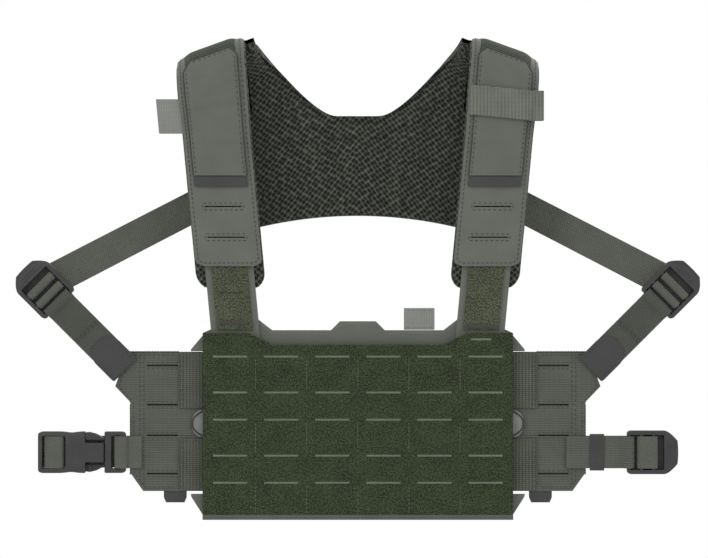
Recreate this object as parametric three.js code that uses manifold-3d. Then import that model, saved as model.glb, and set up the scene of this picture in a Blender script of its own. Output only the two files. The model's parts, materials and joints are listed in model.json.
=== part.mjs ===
// Safety harness vest: a panel chest rig on an H-shaped shoulder harness.
// Millimetres, +Z up, -Y is the front, and +X is the wearer's left.
// The origin is where the wearer's shoulders carry it: midway between the two pads, under their arches.
import * as THREE from 'three';
import { mergeVertices } from 'three/addons/utils/BufferGeometryUtils.js';
import Module from 'manifold-3d';

const wasm = await Module();
wasm.setup();

// ---- Driving dimensions -------------------------------------------------------------------------
const GAP = 0.3; // clearance between pieces that touch
const SMALL = 0.01;

const PANEL_WIDTH = 242;
const WEBBING_WIDTH = 25;
const WEBBING_THICKNESS = 1.6;

const ARCH_RADIUS = 26; // inside of the shoulder arch
const SHOULDER_SLOPE = 0.36; // rise of the arch towards the neck, per mm
const LEAN = 0.0945; // how far the pads close in towards the panel, per mm down
const PAD_CENTRE = PANEL_WIDTH / 2 - 5; // from the middle plane to a pad's centre, at the level of the origin
const PAD_WIDTH = 54;
const PAD_BACK_DROP = 40; // a pad reaches this far down behind the shoulder
const SHELL_BOTTOM = -164;
const LINING_BOTTOM = -183;
const FOAM_BOTTOM = -138;
const LINING_THICKNESS = 3;
const FOAM_THICKNESS = 5;
const SHELL_THICKNESS = 1.6;

const SLEEVE_WIDTH = 42;
const SLEEVE_BOTTOM = -93.5;
const SLEEVE_THICKNESS = 3.5;
const CUFF_HEIGHT = 8;
const CUFF_THICKNESS = 2.4;
const SLIT_LENGTH = 29;
const SLIT_HEIGHT = 1.4;
const PAD_SLITS = [-117.5, -141.5]; // heights of the two slits in each pad's shell

const NECK_HALF_WIDTH = 16; // level part of the yoke's upper edge
const NECK_LEVEL = -47;
const NECK_ROUNDING = 22; // how far its rounding goes on before the edge climbs to the pads
const YOKE_BOTTOM = -123;
const YOKE_CORNER_X = PAD_CENTRE - 18;
const YOKE_CORNER_DROP = 14;

const PANEL_TOP = -225;
const PANEL_BOTTOM = -361;
const PANEL_THICKNESS = 2.3;
const EAR_WIDTH = 36; // raised corner of the panel under each shoulder strap
const EAR_HEIGHT = 9;
const EAR_SLOPE = 18; // run of the slanting edge beside it
const MOLLE_COLUMNS = 6;
const MOLLE_SIDE_MARGIN = 1.6;
const MOLLE_PITCH = (PANEL_WIDTH - 2 * MOLLE_SIDE_MARGIN) / MOLLE_COLUMNS;
const MOLLE_SLOT_LENGTH = 27;
const MOLLE_SLOT_HEIGHT = 1.6;
const MOLLE_TOP = PANEL_TOP - 9.4;
const MOLLE_BAND = 28; // height of a webbing band between its two rows of slots
const MOLLE_PAIR = 49.2; // from one band to the next
const MOLLE_ROWS = 5;
const STIFFENER_MARGIN = 8;
const STIFFENER_THICKNESS = 1.4;

const BACKER_THICKNESS = 2.2;
const BACKER_RISE = 11; // the backer shows this much above the panel
const BACKER_SIDE_TAB = 9;
const BACKER_TAB_HALF_HEIGHT = 10;
const GUSSET_REACH = 10;
const CREST_HALF_WIDTH = 14;
const CREST_HEIGHT = 7;
const LINER_THICKNESS = 2;

const TONGUE_WIDTH = 38;
const TONGUE_THICKNESS = 2;
const TONGUE_LAP = 12; // how far the tongue runs down behind the panel's ear
const LOOP_FACE_WIDTH = 28;
const LOOP_FACE_THICKNESS = 1.2;

const LABEL_WIDTH = 24;
const LABEL_HEIGHT = 17;
const LABEL_X = 48;
const LABEL_THICKNESS = 1;
const PULL_TAB_LENGTH = 17;
const PULL_TAB_HEIGHT = 27;
const PULL_TAB_LEVEL = -47;
const KEEPER_LEVEL = -37;
const KEEPER_HEIGHT = 23;
const KEEPER_WIDTH = 50;
const KEEPER_THICKNESS = 2;
const KEEPER_LOOP_HEIGHT = 24;

const HINGE_X = PANEL_WIDTH / 2 + 1; // the fold line beside the panel
const WING_TOP = PANEL_TOP - 6;
const WING_BOTTOM = PANEL_BOTTOM + 21;
const WING_REACH = HINGE_X + 56; // outer edge, from the middle plane
const WING_TIP = WING_REACH + 12; // its upper corner, where the arm starts
const WING_TIP_DROP = 27;
const WING_NOTCH_DROP = 39;
const WING_CHAMFER = 14;
const WING_THICKNESS = 2.2;
const WING_SLIT_LENGTH = 24;
const WING_SLITS = [10.7, 41.4, 65.4, 95.4].map((drop) => WING_TOP - drop);
const ELASTIC_WIDTH = 18;
const ELASTIC_THICKNESS = 1.5;
const TAB_LEVEL = WING_TOP - 56; // centre of the backer's side tab
const HOOK_TAB_START = 12; // from the fold line
const HOOK_TAB_WIDTH = 18;
const HOOK_TAB_DROP = 9;

const ARM_ANGLE = Math.PI / 4; // how the arm rises from the wing
const ARM_START = [WING_REACH + 3, WING_TOP - 15]; // where its centre line meets the wing
const ARM_LENGTH = 75; // to the bar of its ladder lock
const PATCH_LENGTH = 30;
const PATCH_INSET = 7;
const PATCH_THICKNESS = 1.2;

const LOCK_WIDTH = 34;
const LOCK_THICKNESS = 5;
const LOCK_LENGTH = 40;
const LOCK_BAR = 3;
const LOCK_RAIL = 3.5;
const LOCK_WINDOW = 6.6;
const LOCK_NOSE = 11.2;
const LOCK_WINDOWS = 3;
const LOCK_TILT_CLEARANCE = 0.5;

const DIAGONAL_END = [YOKE_CORNER_X + 11, 31, -103.5]; // where the diagonal strap leaves the yoke
const DIAGONAL_SPLIT = 0.62; // share of its run, from the yoke, that doesn't follow the wing
const DIAGONAL_LIFT = 3; // its clearance behind the ladder lock

const WAIST_LEVEL = WING_BOTTOM + 30.5;
const SOCKET_MOUTH = WING_REACH + 20.4;
const SOCKET_END = SOCKET_MOUTH + 51.6;
const SOCKET_HEIGHT = 32.4;
const SOCKET_DEPTH = 9.6;
const SOCKET_WINDOW = [SOCKET_END - 21.5, SOCKET_END - 3.5];
const SOCKET_BAR = [SOCKET_END - 16.5, SOCKET_END - 9.5]; // the bar that the waist strap passes over
const SOCKET_BAR_THICKNESS = 4;
const SOCKET_NOTCH = SOCKET_MOUTH + 14.6; // outboard of this the housing has its full height
const SOCKET_NECK_HEIGHT = 15;
const SOCKET_CAVITY_END = SOCKET_END - 23.5;
const SOCKET_WALL = 1.8;
const PLUG_END = WING_REACH + 3.5;
const PLUG_SLOT = [PLUG_END + 5, PLUG_END + 11];
const PLUG_THICKNESS = 6;
const PLUG_TONGUE_HEIGHT = 10;
const PLUG_TONGUE_THICKNESS = 3;
const PLUG_TONGUE_END = SOCKET_CAVITY_END - 2.5;
const TAB_INNER = 10.5; // a release tab's inner face, from the buckle's centre line
const TAB_OUTER = 15.5;
const TAB_BARB = 13.6;
const TAB_THICKNESS = 4.6;
const GLIDE_LENGTH = 11;
const GLIDE_HEIGHT = 32;
const GLIDE_X = WING_REACH + 9;
const GLIDE_WALL = 2.2;
const WAIST_LOCK_BAR_X = WING_REACH + 34;

// ---- Layers, as distances in front of the plane where the harness meets the wearer's chest ----
const LINING_LAYER = 0;
const FOAM_LAYER = LINING_LAYER + LINING_THICKNESS + GAP;
const SHELL_LAYER = FOAM_LAYER + FOAM_THICKNESS + GAP;
const SLEEVE_LAYER = SHELL_LAYER + SHELL_THICKNESS + GAP;
const KEEPER_LAYER = SLEEVE_LAYER + SLEEVE_THICKNESS + GAP;
const WING_LAYER = -0.6;
const BACKER_LAYER = WING_LAYER + WING_THICKNESS + GAP;
const TONGUE_LAYER = BACKER_LAYER + BACKER_THICKNESS + GAP;
const STIFFENER_LAYER = TONGUE_LAYER + TONGUE_THICKNESS + GAP;
const PANEL_LAYER = STIFFENER_LAYER + STIFFENER_THICKNESS + GAP;
const LINER_LAYER = WING_LAYER - GAP - LINER_THICKNESS;
const WAIST_STRAP_LAYER = LINER_LAYER - GAP - WEBBING_THICKNESS;
const HARDWARE_LAYER = 2.7; // middle of the ladder locks, in the wings' plane
const BUCKLE_LAYER = 2; // middle of the buckle

// ---- Materials ------------------------------------------------------------------------------------
const finish = (color, roughness) => ({ color, roughness, metalness: 0 });
const LAMINATE = finish(0x5f6660, 0.75);
const LOOP = finish(0x35452c, 0.95);
const MESH = finish(0x33382f, 0.9);
const FOAM = finish(0x2c2d2c, 0.9);
const WEBBING = finish(0x5a6157, 0.85);
const DARK_TRIM = finish(0x3c3d3f, 0.7);
const PLASTIC = finish(0x2f3032, 0.5);
const BOARD = finish(0x1f2021, 0.6);

const vest = new THREE.Group();

function add(name, geometry, material) {
  const mesh = new THREE.Mesh(geometry, new THREE.MeshStandardMaterial(material));
  mesh.name = name;
  vest.add(mesh);
  return mesh;
}

// ---- Solids ---------------------------------------------------------------------------------------
function toSolid(geometry) {
  const bare = geometry.clone();
  bare.deleteAttribute('normal');
  bare.deleteAttribute('uv');
  const merged = mergeVertices(bare, 1e-4);
  const vertProperties = new Float32Array(merged.attributes.position.array);
  const triVerts = new Uint32Array(merged.index.array);
  return new wasm.Manifold(new wasm.Mesh({ numProp: 3, vertProperties, triVerts }));
}

function toGeometry(solid) {
  const { vertProperties, triVerts } = solid.getMesh();
  const geometry = new THREE.BufferGeometry();
  geometry.setAttribute('position', new THREE.BufferAttribute(vertProperties, 3));
  geometry.setIndex(new THREE.BufferAttribute(triVerts, 1));
  return geometry;
}

// A closed outline through these points, with its corners rounded.
function outline(points, radius = 0) {
  const shape = new THREE.Shape();
  const corners = points.map(([x, y]) => new THREE.Vector2(x, y));
  corners.forEach((corner, i) => {
    const before = corners.at(i - 1);
    const after = corners[(i + 1) % corners.length];
    const reach = (to) => Math.min(radius, corner.distanceTo(to) * 0.45);
    const start = corner.clone().add(before.clone().sub(corner).setLength(reach(before)));
    const end = corner.clone().add(after.clone().sub(corner).setLength(reach(after)));
    if (i === 0) shape.moveTo(start.x, start.y);
    else shape.lineTo(start.x, start.y);
    if (radius > 0) shape.quadraticCurveTo(corner.x, corner.y, end.x, end.y);
  });
  shape.closePath();
  return shape;
}

function rectangle(x0, x1, y0, y1, radius = 0) {
  return outline([[x0, y0], [x1, y0], [x1, y1], [x0, y1]], radius);
}

function slit(x, z, length, height) {
  return rectangle(x - length / 2, x + length / 2, z - height / 2, z + height / 2);
}

function extrude(shape, depth) {
  return new THREE.ExtrudeGeometry(shape, { depth, bevelEnabled: false, curveSegments: 4 });
}

// A flat piece seen from the front: its outline is in X and Z, and layer is how far forward its back face is.
function sheet(shape, layer, thickness) {
  const geometry = extrude(shape, thickness);
  geometry.rotateX(Math.PI / 2);
  geometry.translate(0, -ARCH_RADIUS - layer, 0);
  return geometry;
}

// A solid with these openings cut right through it, each given as a longer solid.
function pierced(geometry, tools) {
  const cut = tools.reduce((solid, tool) => solid.subtract(toSolid(tool)), toSolid(geometry));
  return toGeometry(cut);
}

function piercedSheet(shape, layer, thickness, holes) {
  const tools = holes.map((hole) => sheet(hole, layer - GAP, thickness + 2 * GAP));
  return pierced(sheet(shape, layer, thickness), tools);
}

// A profile in Y and Z, carried along X.
function along(profile, x0, x1) {
  const geometry = extrude(profile, x1 - x0);
  const axes = [new THREE.Vector3(0, 1, 0), new THREE.Vector3(0, 0, 1), new THREE.Vector3(1, 0, 0)];
  geometry.applyMatrix4(new THREE.Matrix4().makeBasis(...axes));
  geometry.translate(x0, 0, 0);
  return geometry;
}

// ---- Shoulder arch ----------------------------------------------------------------------------------
const padCentre = (z) => PAD_CENTRE + LEAN * z;
const padEdge = (z, share) => padCentre(z) + share * PAD_WIDTH / 2;
const ARCH_REACH = 220; // longer than any leg of the arch

// Half of the arch from the crown down its front leg (way -1) or its back leg (way 1).
function archHalf(layer, thickness, way) {
  const inner = ARCH_RADIUS + layer;
  const outer = inner + thickness;
  const shape = new THREE.Shape();
  const steps = 8;
  const at = (radius, i) => {
    const angle = (i / steps) * Math.PI / 2;
    return [way * radius * Math.sin(angle), radius * Math.cos(angle) - ARCH_RADIUS];
  };
  shape.moveTo(-way * SMALL, outer - ARCH_RADIUS);
  for (let i = 0; i <= steps; i++) shape.lineTo(...at(outer, i));
  shape.lineTo(way * outer, -ARCH_REACH);
  shape.lineTo(way * inner, -ARCH_REACH);
  for (let i = steps; i >= 0; i--) shape.lineTo(...at(inner, i));
  shape.lineTo(-way * SMALL, inner - ARCH_RADIUS);
  shape.closePath();
  return shape;
}

// One half of the arch over a range of X, lower towards the tip of the shoulder.
function slopedArch(side, layer, thickness, way, x0, x1) {
  const geometry = along(archHalf(layer, thickness, way), Math.min(side * x0, side * x1),
    Math.max(side * x0, side * x1));
  const lower = new THREE.Matrix4();
  lower.elements[2] = -side * SHOULDER_SLOPE;
  lower.elements[14] = SHOULDER_SLOPE * PAD_CENTRE;
  return toSolid(geometry.applyMatrix4(lower));
}

const sided = (side, points) => points.map(([x, z]) => [side * x, z]);

function cutTo(solid, shape) {
  const tool = extrude(shape, 4 * ARCH_REACH);
  tool.rotateX(Math.PI / 2);
  tool.translate(0, 2 * ARCH_REACH, 0);
  return solid.intersect(toSolid(tool));
}

// A strip over the shoulder, from bottom in front to back behind, between two shares of the pad's half width.
function padStrip(side, layer, thickness, { bottom, top = 40, shares = [-1, 1], back, radius = 0 }) {
  const [a, b] = shares;
  const strip = (low, r) => outline(sided(side,
    [[padEdge(low, a), low], [padEdge(low, b), low], [padEdge(top, b), top], [padEdge(top, a), top]]), r);
  const front = cutTo(slopedArch(side, layer, thickness, -1, 40, 180), strip(bottom, radius));
  if (back === undefined) return front;
  return front.add(cutTo(slopedArch(side, layer, thickness, 1, 40, 180), strip(back, 0)));
}

function slitTool(side, z) {
  const slot = slit(side * padCentre(z), z, SLIT_LENGTH, SLIT_HEIGHT);
  return toSolid(sheet(slot, SHELL_LAYER - GAP, SHELL_THICKNESS + 2 * GAP));
}

function makePad(side, name) {
  const back = -PAD_BACK_DROP;
  const strip = (layer, thickness, options) => padStrip(side, layer, thickness, options);
  const lining = strip(LINING_LAYER, LINING_THICKNESS, { bottom: LINING_BOTTOM, back, radius: 14 });
  add(`${name}_pad_lining`, toGeometry(lining), MESH);
  const foam = strip(FOAM_LAYER, FOAM_THICKNESS, { bottom: FOAM_BOTTOM, back, shares: [-0.94, 0.94] });
  add(`${name}_pad_foam`, toGeometry(foam), FOAM);
  let shell = strip(SHELL_LAYER, SHELL_THICKNESS, { bottom: SHELL_BOTTOM, back, radius: 6 });
  PAD_SLITS.forEach((z) => {
    shell = shell.subtract(slitTool(side, z));
  });
  add(`${name}_pad_shell`, toGeometry(shell), LAMINATE);
  const share = SLEEVE_WIDTH / PAD_WIDTH;
  const sleeve = strip(SLEEVE_LAYER, SLEEVE_THICKNESS, { bottom: SLEEVE_BOTTOM, shares: [-share, share] });
  add(`${name}_sleeve`, toGeometry(sleeve), LAMINATE);
  const cuff = strip(SLEEVE_LAYER, CUFF_THICKNESS, {
    bottom: SLEEVE_BOTTOM - GAP - CUFF_HEIGHT, top: SLEEVE_BOTTOM - GAP, shares: [-share, share],
  });
  add(`${name}_sleeve_cuff`, toGeometry(cuff), DARK_TRIM);
}

// ---- Shoulder strap between a pad and the panel -----------------------------------------------------
const TONGUE_TOP = FOAM_BOTTOM - GAP;
const TONGUE_BOTTOM = PANEL_TOP + EAR_HEIGHT - TONGUE_LAP;

function strapOutline(side, width, top, bottom) {
  const half = width / 2;
  return outline(sided(side, [
    [padCentre(bottom) - half, bottom],
    [padCentre(bottom) + half, bottom],
    [padCentre(top) + half, top],
    [padCentre(top) - half, top],
  ]));
}

function makeStrapTongue(side, name) {
  const tongue = strapOutline(side, TONGUE_WIDTH, TONGUE_TOP, TONGUE_BOTTOM);
  add(`${name}_strap_tongue`, sheet(tongue, TONGUE_LAYER, TONGUE_THICKNESS), LAMINATE);
  const face = strapOutline(side, LOOP_FACE_WIDTH, TONGUE_TOP, PANEL_TOP + EAR_HEIGHT + GAP);
  add(`${name}_strap_loop_face`, sheet(face, TONGUE_LAYER + TONGUE_THICKNESS + GAP, LOOP_FACE_THICKNESS), LOOP);
}

// ---- Yoke between the pads, behind the neck ---------------------------------------------------------
function yokeOutline(side) {
  const inner = (z) => padEdge(z, -1) - GAP;
  const shape = new THREE.Shape();
  const to = (x, z) => shape.lineTo(side * x, z);
  shape.moveTo(-side * SMALL, NECK_LEVEL);
  to(NECK_HALF_WIDTH, NECK_LEVEL);
  const top = 30;
  shape.quadraticCurveTo(side * (NECK_HALF_WIDTH + NECK_ROUNDING), NECK_LEVEL, side * inner(top), top);
  to(inner(-PAD_BACK_DROP - GAP), -PAD_BACK_DROP - GAP);
  to(padEdge(-PAD_BACK_DROP, 1), -PAD_BACK_DROP - GAP);
  to(YOKE_CORNER_X + 6, -PAD_BACK_DROP * 2);
  to(YOKE_CORNER_X, YOKE_BOTTOM - YOKE_CORNER_DROP);
  shape.quadraticCurveTo(side * YOKE_CORNER_X / 2, YOKE_BOTTOM, -side * SMALL, YOKE_BOTTOM);
  shape.closePath();
  return shape;
}

function yokeLayer(layer, thickness) {
  const half = (side) => cutTo(slopedArch(side, layer, thickness, 1, -1, 170), yokeOutline(side));
  return toGeometry(half(1).add(half(-1)));
}

function makeYoke() {
  add('yoke_mesh', yokeLayer(LINING_LAYER, LINING_THICKNESS), MESH);
  add('yoke_foam', yokeLayer(FOAM_LAYER, FOAM_THICKNESS), FOAM);
  add('yoke_shell', yokeLayer(SHELL_LAYER, SHELL_THICKNESS), LAMINATE);
}

// ---- Trim on the pads -------------------------------------------------------------------------------
function makePadTrim() {
  const low = PULL_TAB_LEVEL - PULL_TAB_HEIGHT / 2;
  const high = PULL_TAB_LEVEL + PULL_TAB_HEIGHT / 2;
  const end = padEdge(PULL_TAB_LEVEL, 1) + PULL_TAB_LENGTH;
  const tab = outline(sided(-1, [
    [padEdge(low, 1) + GAP, low], [end, low], [end, high], [padEdge(high, 1) + GAP, high],
  ]));
  add('right_pull_tab', sheet(tab, FOAM_LAYER + 1, LABEL_THICKNESS), WEBBING);

  const share = KEEPER_WIDTH / PAD_WIDTH;
  const band = padStrip(1, KEEPER_LAYER, KEEPER_THICKNESS, {
    bottom: KEEPER_LEVEL - KEEPER_HEIGHT / 2, top: KEEPER_LEVEL + KEEPER_HEIGHT / 2, shares: [-share, share],
  });
  add('left_keeper_band', toGeometry(band), WEBBING);
  const sleeveEdge = (SLEEVE_WIDTH + 2) / PAD_WIDTH;
  const loop = padStrip(1, SLEEVE_LAYER, KEEPER_THICKNESS, {
    bottom: KEEPER_LEVEL - KEEPER_LOOP_HEIGHT / 2, top: KEEPER_LEVEL + KEEPER_LOOP_HEIGHT / 2, shares: [sleeveEdge, sleeveEdge + 0.4],
  });
  add('left_keeper_loop', toGeometry(loop), WEBBING);
}

// ---- Front panel ------------------------------------------------------------------------------------
function panelOutline() {
  const half = PANEL_WIDTH / 2;
  const ear = PANEL_TOP + EAR_HEIGHT;
  return outline([
    [-half, PANEL_BOTTOM], [half, PANEL_BOTTOM], [half, ear], [half - EAR_WIDTH, ear],
    [half - EAR_WIDTH - EAR_SLOPE, PANEL_TOP], [-half + EAR_WIDTH + EAR_SLOPE, PANEL_TOP],
    [-half + EAR_WIDTH, ear], [-half, ear],
  ]);
}

function molleSlots() {
  const slots = [];
  for (let row = 0; row < MOLLE_ROWS; row++) {
    const z = MOLLE_TOP - Math.floor(row / 2) * MOLLE_PAIR - (row % 2) * MOLLE_BAND;
    for (let column = 0; column < MOLLE_COLUMNS; column++) {
      const x = (column - (MOLLE_COLUMNS - 1) / 2) * MOLLE_PITCH;
      slots.push(slit(x, z, MOLLE_SLOT_LENGTH, MOLLE_SLOT_HEIGHT));
    }
  }
  return slots;
}

function backerOutline() {
  const half = PANEL_WIDTH / 2;
  const top = PANEL_TOP + BACKER_RISE;
  const ear = PANEL_TOP + EAR_HEIGHT;
  const reach = half + BACKER_SIDE_TAB;
  const tab = BACKER_TAB_HALF_HEIGHT;
  const gusset = half + GUSSET_REACH;
  const crest = CREST_HALF_WIDTH;
  const right = [
    [half, PANEL_BOTTOM], [gusset, WING_BOTTOM - GUSSET_REACH], [gusset, WING_BOTTOM], [half + GAP, WING_BOTTOM], [half + GAP, TAB_LEVEL - tab], [reach - 3, TAB_LEVEL - tab / 2],
    [reach, TAB_LEVEL], [reach - 3, TAB_LEVEL + tab / 2], [half + GAP, TAB_LEVEL + tab],
    [half + GAP, WING_TOP], [gusset, WING_TOP + 2 * GAP], [half, ear], [half - EAR_WIDTH, ear + 16],
    [half - EAR_WIDTH - EAR_SLOPE, top], [crest + CREST_HEIGHT, top], [crest, top + CREST_HEIGHT],
  ];
  const left = right.map(([x, z]) => [-x, z]).reverse();
  return outline([...right, ...left]);
}

function makePanel() {
  const half = PANEL_WIDTH / 2;
  add('front_panel', piercedSheet(panelOutline(), PANEL_LAYER, PANEL_THICKNESS, molleSlots()), LOOP);
  const inset = half - STIFFENER_MARGIN;
  const board = rectangle(-inset, inset, PANEL_BOTTOM + STIFFENER_MARGIN, TONGUE_BOTTOM - GAP, 6);
  add('panel_stiffener', sheet(board, STIFFENER_LAYER, STIFFENER_THICKNESS), BOARD);
  add('panel_backer', sheet(backerOutline(), BACKER_LAYER, BACKER_THICKNESS), LAMINATE);
  const liner = rectangle(-half, half, PANEL_BOTTOM, PANEL_TOP, 8);
  add('body_liner', sheet(liner, LINER_LAYER, LINER_THICKNESS), MESH);
  const labelBottom = PANEL_TOP + BACKER_RISE + GAP;
  const label = rectangle(LABEL_X - LABEL_WIDTH / 2, LABEL_X + LABEL_WIDTH / 2, labelBottom,
    labelBottom + LABEL_HEIGHT);
  add('panel_pull_tab', sheet(label, BACKER_LAYER, LABEL_THICKNESS), WEBBING);
}

// ---- Wings ------------------------------------------------------------------------------------------
function wingOutline(side) {
  const start = HINGE_X + GAP;
  return outline(sided(side, [
    [start, WING_BOTTOM], [WING_REACH - WING_CHAMFER * 0.7, WING_BOTTOM], [WING_REACH, WING_BOTTOM + WING_CHAMFER],
    [WING_REACH, WING_TOP - WING_NOTCH_DROP], [WING_TIP, WING_TOP - WING_TIP_DROP], [WING_TIP - 6, WING_TOP],
    [start, WING_TOP],
  ]));
}

function makeWing(side, name) {
  const slitX = side * (HINGE_X + ELASTIC_WIDTH + WING_SLIT_LENGTH / 2 + 1);
  const slits = WING_SLITS.map((z) => slit(slitX, z, WING_SLIT_LENGTH, SLIT_HEIGHT));
  add(`${name}_wing`, piercedSheet(wingOutline(side), WING_LAYER, WING_THICKNESS, slits), WEBBING);
  const front = WING_LAYER + WING_THICKNESS + GAP;
  const x0 = side * (HINGE_X + GAP);
  const x1 = side * (HINGE_X + ELASTIC_WIDTH);
  const lowX = Math.min(x0, x1);
  const highX = Math.max(x0, x1);
  const upper = rectangle(lowX, highX, TAB_LEVEL + BACKER_TAB_HALF_HEIGHT + 2, WING_TOP - 1);
  add(`${name}_wing_elastic_upper`, sheet(upper, front, ELASTIC_THICKNESS), WEBBING);
  const lower = rectangle(lowX, highX, WING_BOTTOM + 1, TAB_LEVEL - BACKER_TAB_HALF_HEIGHT - 2);
  add(`${name}_wing_elastic_lower`, sheet(lower, front, ELASTIC_THICKNESS), WEBBING);
  const hookStart = HINGE_X + HOOK_TAB_START;
  const hookX = Math.min(side * hookStart, side * (hookStart + HOOK_TAB_WIDTH));
  const hook = rectangle(hookX, hookX + HOOK_TAB_WIDTH, WING_BOTTOM - HOOK_TAB_DROP, WING_BOTTOM - GAP);
  add(`${name}_hook_tab`, sheet(hook, WING_LAYER, ELASTIC_THICKNESS), DARK_TRIM);
}

// ---- Webbing hardware -------------------------------------------------------------------------------
// Hardware is drawn in U (along the webbing, 0 at the bar that the webbing loops round), V (along the
// bar) and W (forward). A frame turns U to the way that the webbing runs.
function hardwareFrame(origin, side, angle, layer) {
  const u = new THREE.Vector3(side * Math.cos(angle), 0, Math.sin(angle));
  const w = new THREE.Vector3(0, -1, 0);
  const v = w.clone().cross(u);
  const matrix = new THREE.Matrix4().makeBasis(u, v, w);
  matrix.setPosition(side * origin[0], -ARCH_RADIUS - layer, origin[1]);
  return matrix;
}

function place(mesh, frame) {
  mesh.applyMatrix4(frame);
}

// A profile in U and W, carried along V and centred on it.
function acrossBar(profile, width) {
  const geometry = extrude(profile, width);
  geometry.rotateX(Math.PI / 2);
  geometry.translate(0, width / 2, 0);
  return geometry;
}

// Ladder lock: a frame with windows between cross bars, and a rounded nose to lift it by.
function lockOutline() {
  const half = LOCK_WIDTH / 2;
  const start = -LOCK_BAR / 2;
  const end = start + LOCK_LENGTH;
  const shoulder = end - LOCK_NOSE;
  const shape = outline([
    [start, -half], [start, half], [shoulder, half], [end, half * 0.45], [end, -half * 0.45], [shoulder, -half],
  ], 5);
  return shape;
}

function lockBody() {
  const plate = (shape, depth) => extrude(shape, depth).translate(0, 0, -depth / 2);
  const rail = LOCK_WIDTH / 2 - LOCK_RAIL;
  const tools = [];
  for (let i = 0; i < LOCK_WINDOWS; i++) {
    const u = LOCK_BAR / 2 + i * (LOCK_WINDOW + LOCK_BAR);
    tools.push(plate(rectangle(u, u + LOCK_WINDOW, -rail, rail), LOCK_THICKNESS + 2 * GAP));
  }
  return pierced(plate(lockOutline(), LOCK_THICKNESS), tools);
}

// Webbing looped round the bar at U = 0, running back to U = -run.
function loopedWebbing(run) {
  const clear = Math.hypot(LOCK_BAR, LOCK_THICKNESS) / 2 + LOCK_TILT_CLEARANCE;
  const outer = clear + WEBBING_THICKNESS;
  const half = WEBBING_THICKNESS / 2;
  const shape = new THREE.Shape();
  const start = Math.PI + Math.asin(half / outer);
  shape.moveTo(-run, -half);
  shape.lineTo(-Math.cos(Math.asin(half / outer)) * outer, -half);
  shape.absarc(0, 0, outer, start, 3 * Math.PI - Math.asin(half / outer), false);
  shape.lineTo(-run, half);
  shape.closePath();
  const hole = new THREE.Path();
  hole.absarc(0, 0, clear, 0, 2 * Math.PI, true);
  shape.holes.push(hole);
  return acrossBar(shape, WEBBING_WIDTH);
}

// Webbing that passes round one cross bar, or over two of them.
function barWrap(first, last) {
  const pitch = LOCK_WINDOW + LOCK_BAR;
  const u0 = first * pitch - LOCK_BAR / 2 - GAP;
  const u1 = last * pitch + LOCK_BAR / 2 + GAP;
  const w = LOCK_THICKNESS / 2 + GAP;
  const t = WEBBING_THICKNESS;
  const shape = rectangle(u0 - t, u1 + t, -w - t, w + t, 3);
  shape.holes.push(rectangle(u0, u1, -w, w));
  return acrossBar(shape, WEBBING_WIDTH);
}

function makeArm(side, name) {
  const along = [Math.cos(ARM_ANGLE), Math.sin(ARM_ANGLE)];
  const bar = [ARM_START[0] + along[0] * ARM_LENGTH, ARM_START[1] + along[1] * ARM_LENGTH];
  const frame = hardwareFrame(bar, side, ARM_ANGLE, HARDWARE_LAYER);
  place(add(`${name}_arm`, loopedWebbing(ARM_LENGTH), WEBBING), frame);
  const patchStart = PATCH_INSET - ARM_LENGTH;
  const patch = rectangle(patchStart, patchStart + PATCH_LENGTH, -WEBBING_WIDTH / 2, WEBBING_WIDTH / 2, 6);
  const patchGeometry = extrude(patch, PATCH_THICKNESS);
  patchGeometry.translate(0, 0, WEBBING_THICKNESS / 2 + GAP);
  place(add(`${name}_arm_patch`, patchGeometry, DARK_TRIM), frame);
  place(add(`${name}_ladder_lock`, lockBody(), PLASTIC), frame);
  place(add(`${name}_lock_wrap_lower`, barWrap(1, 1), WEBBING), frame);
  place(add(`${name}_lock_wrap_upper`, barWrap(2, 2), WEBBING), frame);
  return frame;
}

function band(from, to, width) {
  const line = to.clone().sub(from);
  const length = line.length();
  line.normalize();
  const across = new THREE.Vector3(line.z, 0, -line.x).normalize();
  const through = across.clone().cross(line);
  const geometry = new THREE.BoxGeometry(length, WEBBING_THICKNESS, width);
  const middle = from.clone().add(to).multiplyScalar(0.5);
  const matrix = new THREE.Matrix4().makeBasis(line, through, across);
  matrix.setPosition(middle);
  geometry.applyMatrix4(matrix);
  return geometry;
}

// The diagonal strap runs from the yoke's side to the ladder lock, behind it.
function makeDiagonal(side, name, frame) {
  const back = -LOCK_THICKNESS / 2 - WEBBING_THICKNESS - DIAGONAL_LIFT;
  const lock = new THREE.Vector3(LOCK_LENGTH / 2, 0, back).applyMatrix4(frame);
  const yoke = new THREE.Vector3(side * DIAGONAL_END[0], DIAGONAL_END[1], DIAGONAL_END[2]);
  const split = yoke.clone().lerp(lock, DIAGONAL_SPLIT);
  const beyond = yoke.clone().lerp(lock, DIAGONAL_SPLIT + 0.006);
  add(`${name}_diagonal_strap`, band(yoke, split, WEBBING_WIDTH), WEBBING);
  add(`${name}_diagonal_strap_end`, band(beyond, lock, WEBBING_WIDTH), WEBBING);
}

// ---- Waist ------------------------------------------------------------------------------------------
function waistSheet(x0, x1, height, layer, thickness) {
  const half = height / 2;
  return sheet(rectangle(x0, x1, WAIST_LEVEL - half, WAIST_LEVEL + half), layer, thickness);
}

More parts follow.
